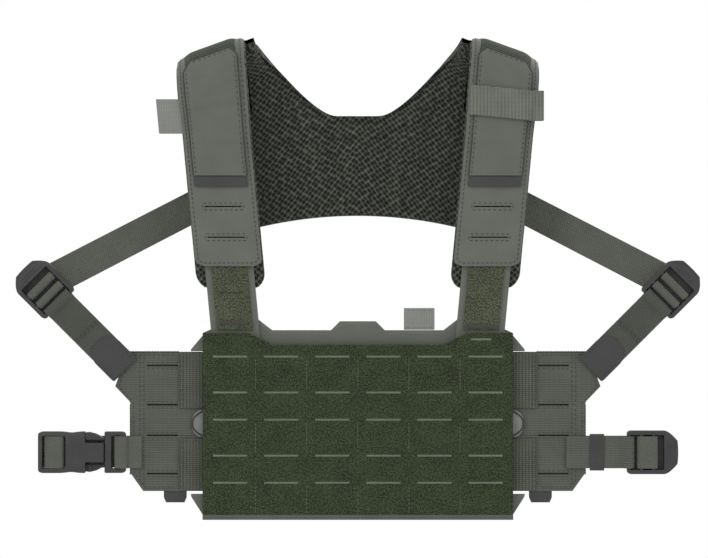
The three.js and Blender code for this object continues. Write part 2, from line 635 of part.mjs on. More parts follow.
// Side-release buckle on the wearer's right: its socket pulls off the plug along -X.
function socketSolid() {
  const full = SOCKET_HEIGHT / 2;
  const neck = SOCKET_NECK_HEIGHT / 2;
  const z = (offset) => WAIST_LEVEL + offset;
  const body = outline([
    [-SOCKET_END, z(-full + 2)], [-SOCKET_END + 3, z(-full)], [-SOCKET_NOTCH, z(-full)],
    [-SOCKET_NOTCH, z(-neck)], [-SOCKET_MOUTH, z(-neck)], [-SOCKET_MOUTH, z(neck)],
    [-SOCKET_NOTCH, z(neck)], [-SOCKET_NOTCH, z(full)], [-SOCKET_END + 3, z(full)], [-SOCKET_END, z(full - 2)],
  ]);
  const strapHalf = WEBBING_WIDTH / 2 + 2 * GAP;
  body.holes.push(rectangle(-SOCKET_WINDOW[1], -SOCKET_WINDOW[0], z(-strapHalf), z(strapHalf)));
  const layer = BUCKLE_LAYER - SOCKET_DEPTH / 2;
  const inside = SOCKET_DEPTH - 2 * SOCKET_WALL;
  const hollow = waistSheet(-SOCKET_CAVITY_END, -SOCKET_MOUTH + 1, PLUG_TONGUE_HEIGHT + 4 * GAP,
    layer + SOCKET_WALL, inside);
  const side = full - SOCKET_WALL;
  const chamber = waistSheet(-SOCKET_CAVITY_END, -SOCKET_NOTCH + 1, 2 * side, layer + SOCKET_WALL, inside);
  const bar = waistSheet(-SOCKET_BAR[1], -SOCKET_BAR[0], SOCKET_HEIGHT - SOCKET_WALL,
    BUCKLE_LAYER - SOCKET_BAR_THICKNESS / 2, SOCKET_BAR_THICKNESS);
  const housing = toSolid(sheet(body, layer, SOCKET_DEPTH)).subtract(toSolid(hollow)).subtract(toSolid(chamber));
  return housing.add(toSolid(bar));
}

function plugSolid() {
  const full = SOCKET_HEIGHT / 2;
  const base = rectangle(-SOCKET_MOUTH + GAP, -PLUG_END, WAIST_LEVEL - full, WAIST_LEVEL + full, 4);
  const strapHalf = WEBBING_WIDTH / 2 + 2 * GAP;
  base.holes.push(rectangle(-PLUG_SLOT[1], -PLUG_SLOT[0], WAIST_LEVEL - strapHalf, WAIST_LEVEL + strapHalf));
  const solid = toSolid(sheet(base, BUCKLE_LAYER - PLUG_THICKNESS / 2, PLUG_THICKNESS));
  const tongue = waistSheet(-PLUG_TONGUE_END, -SOCKET_MOUTH + 1, PLUG_TONGUE_HEIGHT,
    BUCKLE_LAYER - PLUG_TONGUE_THICKNESS / 2, PLUG_TONGUE_THICKNESS);
  return solid.add(toSolid(tongue));
}

function makeReleaseTab(way, name) {
  const z = (offset) => WAIST_LEVEL + way * offset;
  const shape = outline([
    [-SOCKET_MOUTH - GAP, z(TAB_INNER)], [-SOCKET_NOTCH - 9, z(TAB_INNER)], [-SOCKET_NOTCH - 7, z(TAB_BARB)],
    [-SOCKET_NOTCH - GAP, z(TAB_BARB)], [-SOCKET_NOTCH + 2, z(TAB_OUTER)], [-SOCKET_NOTCH + 9, z(TAB_OUTER)],
    [-SOCKET_MOUTH - GAP, z(TAB_BARB)],
  ]);
  add(name, sheet(shape, BUCKLE_LAYER - TAB_THICKNESS / 2, TAB_THICKNESS), PLASTIC);
}

// A closed loop of webbing round a bar that stands between x0 and x1.
function waistRing(x0, x1, depth) {
  const w = depth / 2 + GAP;
  const t = WEBBING_THICKNESS;
  const middle = -ARCH_RADIUS - BUCKLE_LAYER;
  const shape = rectangle(x0 - GAP - t, x1 + GAP + t, middle - w - t, middle + w + t, 2);
  shape.holes.push(rectangle(x0 - GAP, x1 + GAP, middle - w, middle + w));
  const geometry = extrude(shape, WEBBING_WIDTH);
  geometry.translate(0, 0, WAIST_LEVEL - WEBBING_WIDTH / 2);
  return geometry;
}

function makeBuckle() {
  add('buckle_socket', toGeometry(socketSolid()), PLASTIC);
  add('buckle_plug', toGeometry(plugSolid()), PLASTIC);
  makeReleaseTab(1, 'buckle_tab_upper');
  makeReleaseTab(-1, 'buckle_tab_lower');
  const strapLoop = waistRing(-SOCKET_BAR[1], -SOCKET_BAR[0], SOCKET_BAR_THICKNESS);
  add('buckle_strap_loop', strapLoop, WEBBING);
  const stub = waistSheet(-PLUG_END + GAP + WEBBING_THICKNESS / 2, -WING_REACH + 12, WEBBING_WIDTH,
    BACKER_LAYER, WEBBING_THICKNESS);
  const ring = waistRing(-PLUG_SLOT[0], -PLUG_END, PLUG_THICKNESS);
  add('right_waist_webbing', toGeometry(toSolid(ring).add(toSolid(stub))), WEBBING);
}

function makeWaistAdjuster() {
  const frame = hardwareFrame([WAIST_LOCK_BAR_X, WAIST_LEVEL], 1, 0, HARDWARE_LAYER);
  const run = WAIST_LOCK_BAR_X - WING_REACH + 12;
  place(add('left_waist_webbing', loopedWebbing(run), WEBBING), frame);
  place(add('waist_ladder_lock', lockBody(), PLASTIC), frame);
  place(add('waist_lock_wrap', barWrap(1, 2), WEBBING), frame);

  const room = WEBBING_THICKNESS / 2 + GAP;
  const ring = rectangle(-GLIDE_HEIGHT / 2, GLIDE_HEIGHT / 2, -room - GLIDE_WALL, room + GLIDE_WALL, 2);
  const half = WEBBING_WIDTH / 2 + GAP;
  ring.holes.push(rectangle(-half, half, -room, room));
  const geometry = extrude(ring, GLIDE_LENGTH);
  const axes = [new THREE.Vector3(0, 0, 1), new THREE.Vector3(0, 1, 0), new THREE.Vector3(-1, 0, 0)];
  geometry.applyMatrix4(new THREE.Matrix4().makeBasis(...axes));
  geometry.translate(GLIDE_X + GLIDE_LENGTH / 2, -ARCH_RADIUS - HARDWARE_LAYER, WAIST_LEVEL);
  add('triglide', geometry, PLASTIC);
}

function makeWaistStrap() {
  const strap = (name, x0, x1) => add(name, waistSheet(Math.min(x0, x1), Math.max(x0, x1), WEBBING_WIDTH,
    WAIST_STRAP_LAYER, WEBBING_THICKNESS), WEBBING);
  strap('waist_strap', -HINGE_X + GAP, HINGE_X - GAP);
  strap('waist_strap_right_end', -HINGE_X - GAP, -SOCKET_END + 6);
  strap('waist_strap_left_end', HINGE_X + GAP, WAIST_LOCK_BAR_X + 16);
}

// ---- The whole vest ---------------------------------------------------------------------------------
[[-1, 'right'], [1, 'left']].forEach(([side, name]) => {
  makePad(side, name);
  makeStrapTongue(side, name);
  makeWing(side, name);
  makeDiagonal(side, name, makeArm(side, name));
});
makeYoke();
makePadTrim();
makePanel();
makeBuckle();
makeWaistAdjuster();
makeWaistStrap();

export default vest;
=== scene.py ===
# %% [markdown]
# # Safety harness vest
# A chest rig is cut from flat cloth: laminate panels with laser-cut slots, foam pads faced with
# laminate and lined with spacer mesh, woven webbing and moulded buckles. Each piece here is made
# the same way: it is cut flat as a grid, given its thickness and its hems, and then laid over the
# chest or over the shoulder arch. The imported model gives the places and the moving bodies.

# %% Load the frame
import json
import math

import bpy
import numpy as np
from mathutils import Vector
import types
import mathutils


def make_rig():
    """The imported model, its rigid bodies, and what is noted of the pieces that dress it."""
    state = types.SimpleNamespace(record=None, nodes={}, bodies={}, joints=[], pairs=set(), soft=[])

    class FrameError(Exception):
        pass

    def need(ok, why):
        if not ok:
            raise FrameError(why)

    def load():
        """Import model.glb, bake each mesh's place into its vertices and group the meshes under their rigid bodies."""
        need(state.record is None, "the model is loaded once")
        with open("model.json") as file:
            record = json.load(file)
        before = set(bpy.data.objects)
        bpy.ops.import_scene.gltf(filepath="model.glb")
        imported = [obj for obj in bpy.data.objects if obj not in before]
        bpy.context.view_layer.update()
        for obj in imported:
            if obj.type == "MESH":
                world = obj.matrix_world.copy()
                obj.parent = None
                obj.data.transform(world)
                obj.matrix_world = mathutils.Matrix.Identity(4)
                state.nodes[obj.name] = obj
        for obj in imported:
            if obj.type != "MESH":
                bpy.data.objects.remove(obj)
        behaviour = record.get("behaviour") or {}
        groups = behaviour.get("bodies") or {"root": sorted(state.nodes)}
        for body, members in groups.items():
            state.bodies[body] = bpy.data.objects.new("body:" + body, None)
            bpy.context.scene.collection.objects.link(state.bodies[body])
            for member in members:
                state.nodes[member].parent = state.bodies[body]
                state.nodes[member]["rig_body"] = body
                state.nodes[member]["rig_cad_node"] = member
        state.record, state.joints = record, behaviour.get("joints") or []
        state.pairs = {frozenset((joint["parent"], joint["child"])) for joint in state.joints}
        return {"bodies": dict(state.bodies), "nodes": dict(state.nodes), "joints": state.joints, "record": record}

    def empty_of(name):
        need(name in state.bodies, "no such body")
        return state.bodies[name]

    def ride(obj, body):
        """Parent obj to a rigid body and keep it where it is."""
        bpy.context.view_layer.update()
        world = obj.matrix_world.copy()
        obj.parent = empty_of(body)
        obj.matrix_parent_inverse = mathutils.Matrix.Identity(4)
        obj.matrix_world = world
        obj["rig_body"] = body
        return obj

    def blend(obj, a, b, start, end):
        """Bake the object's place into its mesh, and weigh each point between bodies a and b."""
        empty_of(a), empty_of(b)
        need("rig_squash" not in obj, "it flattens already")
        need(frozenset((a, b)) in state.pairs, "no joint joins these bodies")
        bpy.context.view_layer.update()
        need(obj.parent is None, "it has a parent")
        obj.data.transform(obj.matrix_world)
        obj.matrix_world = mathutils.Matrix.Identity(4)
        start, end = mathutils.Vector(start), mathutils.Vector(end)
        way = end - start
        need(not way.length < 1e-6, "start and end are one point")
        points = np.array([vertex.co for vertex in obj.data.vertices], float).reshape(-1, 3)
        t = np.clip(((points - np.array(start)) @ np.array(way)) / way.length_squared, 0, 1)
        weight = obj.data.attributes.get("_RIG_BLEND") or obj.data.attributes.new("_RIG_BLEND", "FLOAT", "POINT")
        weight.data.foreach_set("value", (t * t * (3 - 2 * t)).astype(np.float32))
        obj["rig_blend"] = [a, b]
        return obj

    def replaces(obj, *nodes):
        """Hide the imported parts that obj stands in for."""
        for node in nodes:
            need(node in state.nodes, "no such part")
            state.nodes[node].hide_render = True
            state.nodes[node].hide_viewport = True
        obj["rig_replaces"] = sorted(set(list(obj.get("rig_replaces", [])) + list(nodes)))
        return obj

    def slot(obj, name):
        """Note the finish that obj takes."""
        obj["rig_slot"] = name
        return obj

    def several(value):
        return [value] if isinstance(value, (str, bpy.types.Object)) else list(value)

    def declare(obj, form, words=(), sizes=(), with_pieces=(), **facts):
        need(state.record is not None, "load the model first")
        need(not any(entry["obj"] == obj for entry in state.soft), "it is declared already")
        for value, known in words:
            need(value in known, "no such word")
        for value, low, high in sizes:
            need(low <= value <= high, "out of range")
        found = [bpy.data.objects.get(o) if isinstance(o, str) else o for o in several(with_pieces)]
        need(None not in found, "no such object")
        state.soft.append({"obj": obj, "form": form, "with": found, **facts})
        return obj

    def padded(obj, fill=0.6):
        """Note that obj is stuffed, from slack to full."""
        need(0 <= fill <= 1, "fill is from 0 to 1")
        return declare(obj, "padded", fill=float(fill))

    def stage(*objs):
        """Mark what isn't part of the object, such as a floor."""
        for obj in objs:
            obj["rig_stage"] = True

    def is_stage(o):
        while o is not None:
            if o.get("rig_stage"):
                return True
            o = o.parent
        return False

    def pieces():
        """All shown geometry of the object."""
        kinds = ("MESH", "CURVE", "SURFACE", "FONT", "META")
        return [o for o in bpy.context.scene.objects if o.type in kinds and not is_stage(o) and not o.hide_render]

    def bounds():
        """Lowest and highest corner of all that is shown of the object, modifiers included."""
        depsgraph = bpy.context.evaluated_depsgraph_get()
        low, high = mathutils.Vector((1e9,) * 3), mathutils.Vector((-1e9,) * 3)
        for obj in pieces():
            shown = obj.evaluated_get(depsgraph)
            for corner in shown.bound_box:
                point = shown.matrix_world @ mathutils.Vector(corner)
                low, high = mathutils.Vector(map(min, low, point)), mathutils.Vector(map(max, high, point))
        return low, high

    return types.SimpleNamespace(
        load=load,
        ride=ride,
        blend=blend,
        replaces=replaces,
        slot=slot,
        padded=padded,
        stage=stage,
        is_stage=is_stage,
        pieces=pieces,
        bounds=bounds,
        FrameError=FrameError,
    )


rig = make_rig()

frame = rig.load()
cad_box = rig.bounds()
print("bodies:", list(frame["bodies"]))

# %% [markdown]
# ## Camera, floor and light
# The vest is seen square from the front with a long lens, so its straps keep their real angles.
# A round pale floor under it and a plain white surround give soft light from every side.

# %% Camera
LENS_MM = 120
SENSOR_MM = 36
VIEW_WIDTH = 0.552
VIEW_CENTRE = (-0.003, -0.174)
camera_data = bpy.data.cameras.new("camera")
camera_data.lens = LENS_MM
camera_data.sensor_width = SENSOR_MM
camera = bpy.data.objects.new("camera", camera_data)
bpy.context.collection.objects.link(camera)
camera.location = (VIEW_CENTRE[0], -0.035 - VIEW_WIDTH * LENS_MM / SENSOR_MM, VIEW_CENTRE[1])
camera.rotation_euler = (math.pi / 2, 0, 0)
bpy.context.scene.camera = camera
bpy.context.scene.view_settings.view_transform = "Standard"
print("camera stands", round(-camera.location.y, 3), "m in front")


# %% Deselecting
def deselect():
    if bpy.context.mode != "OBJECT":
        bpy.ops.object.mode_set(mode="OBJECT")
    bpy.ops.object.select_all(action="DESELECT")


# %% Studio floor
deselect()
FLOOR_LEVEL = -0.6
FLOOR_REACH = 1.5
bpy.ops.mesh.primitive_circle_add(vertices=96, radius=FLOOR_REACH, fill_type="NGON",
                                  location=(0, 0, FLOOR_LEVEL))
studio = bpy.context.object
studio.name = "studio_floor"
bpy.ops.object.transform_apply(location=True)
floor_finish = bpy.data.materials.new("studio_floor")
floor_finish.use_nodes = True
floor_shader = floor_finish.node_tree.nodes["Principled BSDF"]
floor_shader.inputs["Base Color"].default_value = (0.9, 0.9, 0.9, 1)
floor_shader.inputs["Roughness"].default_value = 0.9
studio.data.materials.append(floor_finish)
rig.stage(studio)
print("floor at", FLOOR_LEVEL)


# %% Lights
def soft_light(name, place, target, size, power):
    data = bpy.data.lights.new(name, "AREA")
    data.shape = "SQUARE"
    data.size = size
    data.energy = power
    lamp = bpy.data.objects.new(name, data)
    bpy.context.collection.objects.link(lamp)
    lamp.location = place
    lamp.rotation_euler = (Vector(target) - Vector(place)).to_track_quat("-Z", "Y").to_euler()


soft_light("key_light", (-0.9, -1.4, 0.9), (0, 0, -0.15), 0.6, 6)
soft_light("fill_light", (1.2, -1.4, 0.3), (0, 0, -0.15), 1.2, 1.5)
soft_light("back_light", (0.7, 1.5, 0.9), (0, 0, -0.15), 0.9, 7)
world = bpy.data.worlds.new("studio")
world.use_nodes = True
world.node_tree.nodes["Background"].inputs["Color"].default_value = (1, 1, 1, 1)
world.node_tree.nodes["Background"].inputs["Strength"].default_value = 1.0
bpy.context.scene.world = world
print("lights:", sum(o.type == "LIGHT" for o in bpy.data.objects))

# %% [markdown]
# ## Finishes
# Every cloth is drawn on its own flat coordinates, kept in a UV map in millimetres, so a weave
# follows the cloth round a bend. Threads are wave textures, one for each way of the weave, and a
# broad noise adds the uneven dye and rubbed places of used fabric.


# %% Node helpers
def linear(colour):
    return [(c / 255 / 12.92 if c <= 10 else ((c / 255 + 0.055) / 1.055) ** 2.4) for c in colour] + [1]


def new_finish(name):
    material = bpy.data.materials.new(name)
    material.use_nodes = True
    return material, material.node_tree, material.node_tree.nodes["Principled BSDF"]


def put(tree, kind, settings=None, **inputs):
    node = tree.nodes.new(kind)
    for key, value in (settings or {}).items():
        setattr(node, key, value)
    for key, value in inputs.items():
        socket = node.inputs[int(key[1:]) if key[0] == "i" and key[1:].isdigit() else key]
        if isinstance(value, bpy.types.NodeSocket):
            tree.links.new(value, socket)
        else:
            socket.default_value = value
    return node


def flat_coordinates(tree, turn=0.0):
    source = put(tree, "ShaderNodeUVMap", {"uv_map": "cloth"})
    return put(tree, "ShaderNodeMapping", Vector=source.outputs[0], Rotation=(0, 0, turn)).outputs[0]


def maths(tree, operation, a, b=0.0):
    return put(tree, "ShaderNodeMath", {"operation": operation}, i0=a, i1=b).outputs[0]


def waves(tree, where, period, direction="X"):
    settings = {"wave_type": "BANDS", "bands_direction": direction}
    node = put(tree, "ShaderNodeTexWave", settings, Vector=where, Scale=0.314159 / period)
    return node.outputs["Fac"]


def noise(tree, where, size, detail=3.0):
    return put(tree, "ShaderNodeTexNoise", Vector=where, Scale=1 / size, Detail=detail).outputs["Fac"]


def ramp(tree, factor, stops):
    node = put(tree, "ShaderNodeValToRGB", Fac=factor)
    node.color_ramp.elements[0].position = stops[0][0]
    node.color_ramp.elements[1].position = stops[-1][0]
    for place, _ in stops[1:-1]:
        node.color_ramp.elements.new(place)
    for element, (_, colour) in zip(node.color_ramp.elements, stops):
        element.color = linear(colour)
    return node.outputs["Color"]


def bump(tree, shader, height, distance, strength=1.0):
    node = put(tree, "ShaderNodeBump", Height=height, Distance=distance, Strength=strength)
    tree.links.new(node.outputs["Normal"], shader.inputs["Normal"])


def shade(colour, share):
    return tuple(min(255, c * share) for c in colour)


# %% Woven cloth and webbing
def woven(name, colour, warp=0.9, weft=0.9, contrast=0.25, rough=0.85, turn=0.0, height=0.00025):
    material, tree, shader = new_finish(name)
    where = flat_coordinates(tree, turn)
    across = waves(tree, where, warp, "X")
    down = waves(tree, where, weft, "Y")
    threads = maths(tree, "MULTIPLY", across, down)
    patchy = noise(tree, where, 22)
    fibre = noise(tree, where, 0.7, 2.0)
    tone = maths(tree, "MULTIPLY", threads, 0.55)
    tone = maths(tree, "ADD", tone, maths(tree, "MULTIPLY", patchy, 0.3))
    tone = maths(tree, "ADD", tone, maths(tree, "MULTIPLY", fibre, 0.25))
    stops = [(0.1, shade(colour, 1 - contrast)), (0.45, colour), (0.95, shade(colour, 1 + contrast))]
    tree.links.new(ramp(tree, tone, stops), shader.inputs["Base Color"])
    shader.inputs["Roughness"].default_value = rough
    shader.inputs["Sheen Weight"].default_value = 0.12
    shader.inputs["Specular IOR Level"].default_value = 0.3
    bump(tree, shader, threads, height, 0.8)
    return material


ARM_WEBBING = woven("arm_webbing", (70, 73, 66), 1.0, 1.9, 0.26, 0.85, 0, 0.0003)
LAMINATE = woven("laminate", (93, 96, 89), 0.8, 0.8, 0.2, 0.72, height=0.00008)
SLEEVE_CLOTH = woven("sleeve_laminate", (90, 93, 86), 0.8, 0.8, 0.2, 0.7, height=0.00008)
WEBBING = woven("webbing", (86, 89, 80), 1.5, 1.1, 0.3, 0.85, math.radians(38), 0.00035)
WING_WEBBING = woven("wing_webbing", (82, 85, 78), 1.0, 1.9, 0.3, 0.85, 0, 0.00035)
ELASTIC = woven("elastic", (77, 80, 71), 2.6, 1.6, 0.45, 0.85, 0, 0.0006)
PALE_WEBBING = woven("pale_webbing", (128, 130, 126), 1.3, 1.0, 0.2, 0.85, 0, 0.0003)
KEEPER_WEBBING = woven("keeper_webbing", (104, 107, 99), 2.7, 1.0, 0.36, 0.85, 0, 0.0005)
DARK_TRIM = woven("dark_trim", (60, 61, 60), 1.0, 1.0, 0.2, 0.75, 0, 0.0002)
THREAD = woven("thread", (112, 115, 104), 0.5, 0.5, 0.2, 0.7, 0, 0.0001)
PANEL_THREAD = woven("panel_thread", (92, 98, 80), 0.5, 0.5, 0.2, 0.7, 0, 0.0001)
SLOT_TAPE = woven("slot_tape", (112, 120, 100), 1.1, 0.9, 0.25, 0.8, 0, 0.0002)
DARK_THREAD = woven("dark_thread", (58, 62, 52), 0.5, 0.5, 0.2, 0.7, 0, 0.0001)


# %% Loop pile
def loop_pile(name, colour, light=1.35):
    material, tree, shader = new_finish(name)
    where = flat_coordinates(tree)
    tuft = noise(tree, where, 1.15, 4.0)
    curl = put(tree, "ShaderNodeTexVoronoi", Vector=where, Scale=0.9).outputs["Distance"]
    patchy = noise(tree, where, 16, 4.0)
    tone = maths(tree, "ADD", maths(tree, "MULTIPLY", tuft, 0.85), maths(tree, "MULTIPLY", patchy, 0.15))
    tone = maths(tree, "ADD", tone, maths(tree, "MULTIPLY", curl, 0.12))
    stops = [(0.4, shade(colour, 0.4)), (0.53, colour), (0.66, shade(colour, light))]
    tree.links.new(ramp(tree, tone, stops), shader.inputs["Base Color"])
    shader.inputs["Roughness"].default_value = 0.95
    shader.inputs["Sheen Weight"].default_value = 0.1
    shader.inputs["Sheen Roughness"].default_value = 0.6
    shader.inputs["Specular IOR Level"].default_value = 0.15
    bump(tree, shader, tone, 0.0012, 0.9)
    return material


LOOP_PILE = loop_pile("loop_pile", (37, 44, 28), 1.7)
STRAP_PILE = loop_pile("strap_pile", (58, 62, 48), 1.5)
CAP_PILE = loop_pile("cap_pile", (42, 49, 36), 1.5)


# %% Spacer mesh
def spacer_mesh(name, ridge, hole_shade, pitch=3.4):
    material, tree, shader = new_finish(name)
    where = flat_coordinates(tree, math.pi / 4)
    cells = put(tree, "ShaderNodeTexVoronoi", Vector=where, Scale=1 / pitch, Randomness=0.28)
    depth = cells.outputs["Distance"]
    fibre = noise(tree, where, 0.6, 3.0)
    tone = maths(tree, "ADD", depth, maths(tree, "MULTIPLY", fibre, 0.16))
    # Painted light: the cell hollows are painted near black as painted shade in the holes, and the crests between them
    # are painted lighter as a painted highlight.
    stops = [(0.36, hole_shade), (0.47, shade(ridge, 0.62)), (0.64, ridge), (0.85, shade(ridge, 1.4))]
    tree.links.new(ramp(tree, tone, stops), shader.inputs["Base Color"])
    shader.inputs["Roughness"].default_value = 0.8
    shader.inputs["Specular IOR Level"].default_value = 0.3
    shader.inputs["Sheen Weight"].default_value = 0.1
    bump(tree, shader, maths(tree, "MINIMUM", tone, 0.62), 0.0025, 1.0)
    return material


# The near-black second colour is the painted shade of the mesh holes.
MESH = spacer_mesh("spacer_mesh", (66, 71, 61), (10, 11, 9), 3.5)


# %% Moulded plastic and board
def moulded(name, colour, rough=0.45):
    material, tree, shader = new_finish(name)
    where = put(tree, "ShaderNodeTexCoord").outputs["Object"]
    grain = put(tree, "ShaderNodeTexNoise", Vector=where, Scale=1600, Detail=3).outputs["Fac"]
    rubbed = put(tree, "ShaderNodeTexNoise", Vector=where, Scale=90, Detail=5).outputs["Fac"]
    tone = maths(tree, "ADD", maths(tree, "MULTIPLY", grain, 0.3), maths(tree, "MULTIPLY", rubbed, 0.7))
    stops = [(0.3, shade(colour, 0.8)), (0.55, colour), (0.8, shade(colour, 1.3))]
    tree.links.new(ramp(tree, tone, stops), shader.inputs["Base Color"])
    rough_map = put(tree, "ShaderNodeMapRange", i0=rubbed, i3=rough - 0.08, i4=rough + 0.15)
    tree.links.new(rough_map.outputs[0], shader.inputs["Roughness"])
    bump(tree, shader, grain, 0.00008, 0.6)
    return material


PLASTIC = moulded("moulded_plastic", (42, 42, 42))
BOARD = moulded("board", (38, 39, 40), 0.6)
print("finishes:", len(bpy.data.materials))

# %% [markdown]
# ## Cutting and sewing helpers
# A real maker cuts a piece flat, turns its hems, and sews it in place. Here a grid is the flat
# cloth: its lines are put where edges and slots fall, the faces inside slots are deleted, a
# Solidify modifier gives the thickness and a Bevel rounds the hems. A last step lays the flat
# piece in its place. U and V are the cloth's flat directions and W its thickness, in millimetres.


# %% Grid lines
def lines(low, high, step, marks=()):
    fixed = sorted({low, high, *[m for m in marks if low < m < high]})
    out = []
    for a, b in zip(fixed, fixed[1:]):
        count = max(1, round((b - a) / step))
        out.extend(np.linspace(a, b, count + 1)[:-1])
    return np.array(out + [high])


# %% Cutting a flat piece
def apply_modifier(obj, name):
    deselect()
    obj.select_set(True)
    bpy.context.view_layer.objects.active = obj
    bpy.ops.object.modifier_apply(modifier=name)


def coordinates(obj):
    co = np.empty(len(obj.data.vertices) * 3)
    obj.data.vertices.foreach_get("co", co)
    return co.reshape(-1, 3)


def cut(name, us, vs, opening=None, outline=None, thickness=1.6, hem=0.3, segments=2):
    deselect()
    bpy.ops.mesh.primitive_grid_add(x_subdivisions=len(us) - 1, y_subdivisions=len(vs) - 1, size=2)
    obj = bpy.context.object
    obj.name = name
    co = coordinates(obj)
    i = np.rint((co[:, 0] + 1) / 2 * (len(us) - 1)).astype(int)
    j = np.rint((co[:, 1] + 1) / 2 * (len(vs) - 1)).astype(int)
    flat = np.column_stack([us[i], vs[j], np.zeros(len(co))])
    obj.data.vertices.foreach_set("co", flat.ravel())
    obj.data.update()
    if opening is not None:
        bpy.context.tool_settings.mesh_select_mode = (False, False, True)
        for polygon in obj.data.polygons:
            polygon.select = bool(opening(polygon.center.x, polygon.center.y))
        bpy.ops.object.mode_set(mode="EDIT")
        bpy.ops.mesh.delete(type="FACE")
        bpy.ops.object.mode_set(mode="OBJECT")
    if outline is not None:
        flat = coordinates(obj)
        flat[:, 0], flat[:, 1] = outline(flat[:, 0], flat[:, 1])
        obj.data.vertices.foreach_set("co", flat.ravel())
        obj.data.update()
    wall = obj.modifiers.new("thickness", "SOLIDIFY")
    wall.thickness = thickness
    wall.offset = 1
    apply_modifier(obj, "thickness")
    if hem:
        edge = obj.modifiers.new("hem", "BEVEL")
        edge.width = hem
        edge.segments = segments
        edge.limit_method = "ANGLE"
        edge.angle_limit = math.radians(50)
        apply_modifier(obj, "hem")
    return obj


# %% Laying a flat piece in its place
def lay(obj, place, finish, slot, body, replaces=(), relief=None, angle=40):
    flat = coordinates(obj)
    loops = np.empty(len(obj.data.loops), dtype=int)
    obj.data.loops.foreach_get("vertex_index", loops)
    while obj.data.uv_layers:
        obj.data.uv_layers.remove(obj.data.uv_layers[0])
    cloth = obj.data.uv_layers.new(name="cloth")
    u, v, w = flat.T
    cloth.data.foreach_set("uv", np.column_stack([u + w, v + w])[loops].ravel())
    if relief is not None:
        w = relief(u, v, w)
    x, y, z = place(u, v, w)
    obj.data.vertices.foreach_set("co", (np.column_stack([x, y, z]) * 0.001).ravel())
    obj.data.update()
    deselect()
    obj.select_set(True)
    bpy.context.view_layer.objects.active = obj
    bpy.ops.object.mode_set(mode="EDIT")
    bpy.ops.mesh.select_all(action="SELECT")
    bpy.ops.mesh.normals_make_consistent(inside=False)
    bpy.ops.object.mode_set(mode="OBJECT")
    bpy.ops.object.shade_smooth_by_angle(angle=math.radians(angle))
    obj.data.materials.clear()
    obj.data.materials.append(finish)
    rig.slot(obj, slot)
    if body:
        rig.ride(obj, body)
    if replaces:
        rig.replaces(obj, *replaces)
    return obj


# %% Places to lay a piece
CHEST = 26.0


def chest(layer, side=1):
    """Flat on the front of the rig: U is across and V is up."""
    return lambda u, v, w: (side * u, -CHEST - layer - w, v)


PAD_CENTRE = 116
LEAN = 0.0945
SLOPE = 0.36


def shoulder(side, layer, full_slope=False):
    """Over the shoulder arch: V is 0 on top, below 0 in front and above 0 behind."""
    radius = CHEST + layer
    quarter = math.pi / 2 * radius

    def place(u, v, w):
        turn = np.clip(v, -quarter, quarter) / radius
        leg = np.clip(np.abs(v) - quarter, 0, None)
        y = (radius + w) * np.sin(turn)
        level = (radius + w) * np.cos(turn) - CHEST - leg
        x = u if full_slope else PAD_CENTRE + LEAN * level + u
        reach = np.where(v > 0, (level + 40) / 14, (level + 62) / 36)
        fade = 1.0 if full_slope else np.clip(reach, 0, 1)
        return side * x, y, level + SLOPE * (PAD_CENTRE - np.abs(x)) * fade

    return place


def down(level, layer):
    """How far along the arch, in front, a height on the straight leg is."""
    return -(math.pi / 2 * (CHEST + layer) - CHEST - level)


# %% Ribbons along a path
def path_frame(path, closed=False):
    path = np.array(path, float)
    if closed:
        path = np.vstack([path, path[:1]])
    steps = np.hypot(*np.diff(path, axis=0).T)
    return path, np.concatenate([[0], np.cumsum(steps)])


def along_path(path, base, closed=False):
    """U runs along a path in the base's own U and W, and V runs across."""
    points, length = path_frame(path, closed)
    tangent = np.gradient(points, length, axis=0)
    if closed:
        tangent[0] = tangent[-1] = (points[1] - points[-2]) / 2
    tangent /= np.linalg.norm(tangent, axis=1)[:, None]

    def place(u, v, w):
        a, b = (np.interp(u, length, points[:, k]) for k in (0, 1))
        ta, tb = (np.interp(u, length, tangent[:, k]) for k in (0, 1))
        size = np.hypot(ta, tb)
        return base(a - w * tb / size, v, b + w * ta / size)

    return place, length[-1]


def ring(u0, u1, w0, w1, radius, steps=5):
    """A rounded rectangle, to lead webbing round a bar."""
    points = []
    corners = ((u1 - radius, w1 - radius, 0), (u0 + radius, w1 - radius, 90),
               (u0 + radius, w0 + radius, 180), (u1 - radius, w0 + radius, 270))
    for u, w, start in corners:
        for k in range(steps + 1):
            a = math.radians(start + 90 * k / steps)
            points.append((u + radius * math.cos(a), w + radius * math.sin(a)))
    return points


def ribbon(name, path, base, width, thickness, finish, slot, body, replaces=(), closed=False,
           step=3.0, hem=0.35, relief=None):
    place, length = along_path(path, base, closed)
    us = lines(0, length, step)
    vs = lines(-width / 2, width / 2, max(width / 8, 1.5))
    obj = cut(name, us, vs, thickness=thickness, hem=0 if closed else hem)
    if closed:
        obj = lay(obj, place, finish, slot, body, replaces, relief)
        deselect()
        obj.select_set(True)
        bpy.context.view_layer.objects.active = obj
        bpy.ops.object.mode_set(mode="EDIT")
        bpy.ops.mesh.select_all(action="SELECT")
        bpy.ops.mesh.remove_doubles(threshold=0.00004)
        bpy.ops.object.mode_set(mode="OBJECT")
        return obj
    return lay(obj, place, finish, slot, body, replaces, relief)


# %% Stitching
deselect()
bpy.ops.mesh.primitive_uv_sphere_add(segments=6, ring_count=4, radius=1)
stitch = bpy.context.object
stitch_points = coordinates(stitch).copy()
stitch_faces = [tuple(p.vertices) for p in stitch.data.polygons]
bpy.data.objects.remove(stitch)
STITCH_LENGTH = 2.6
STITCH_PITCH = 3.6
STITCH_RADIUS = 0.32


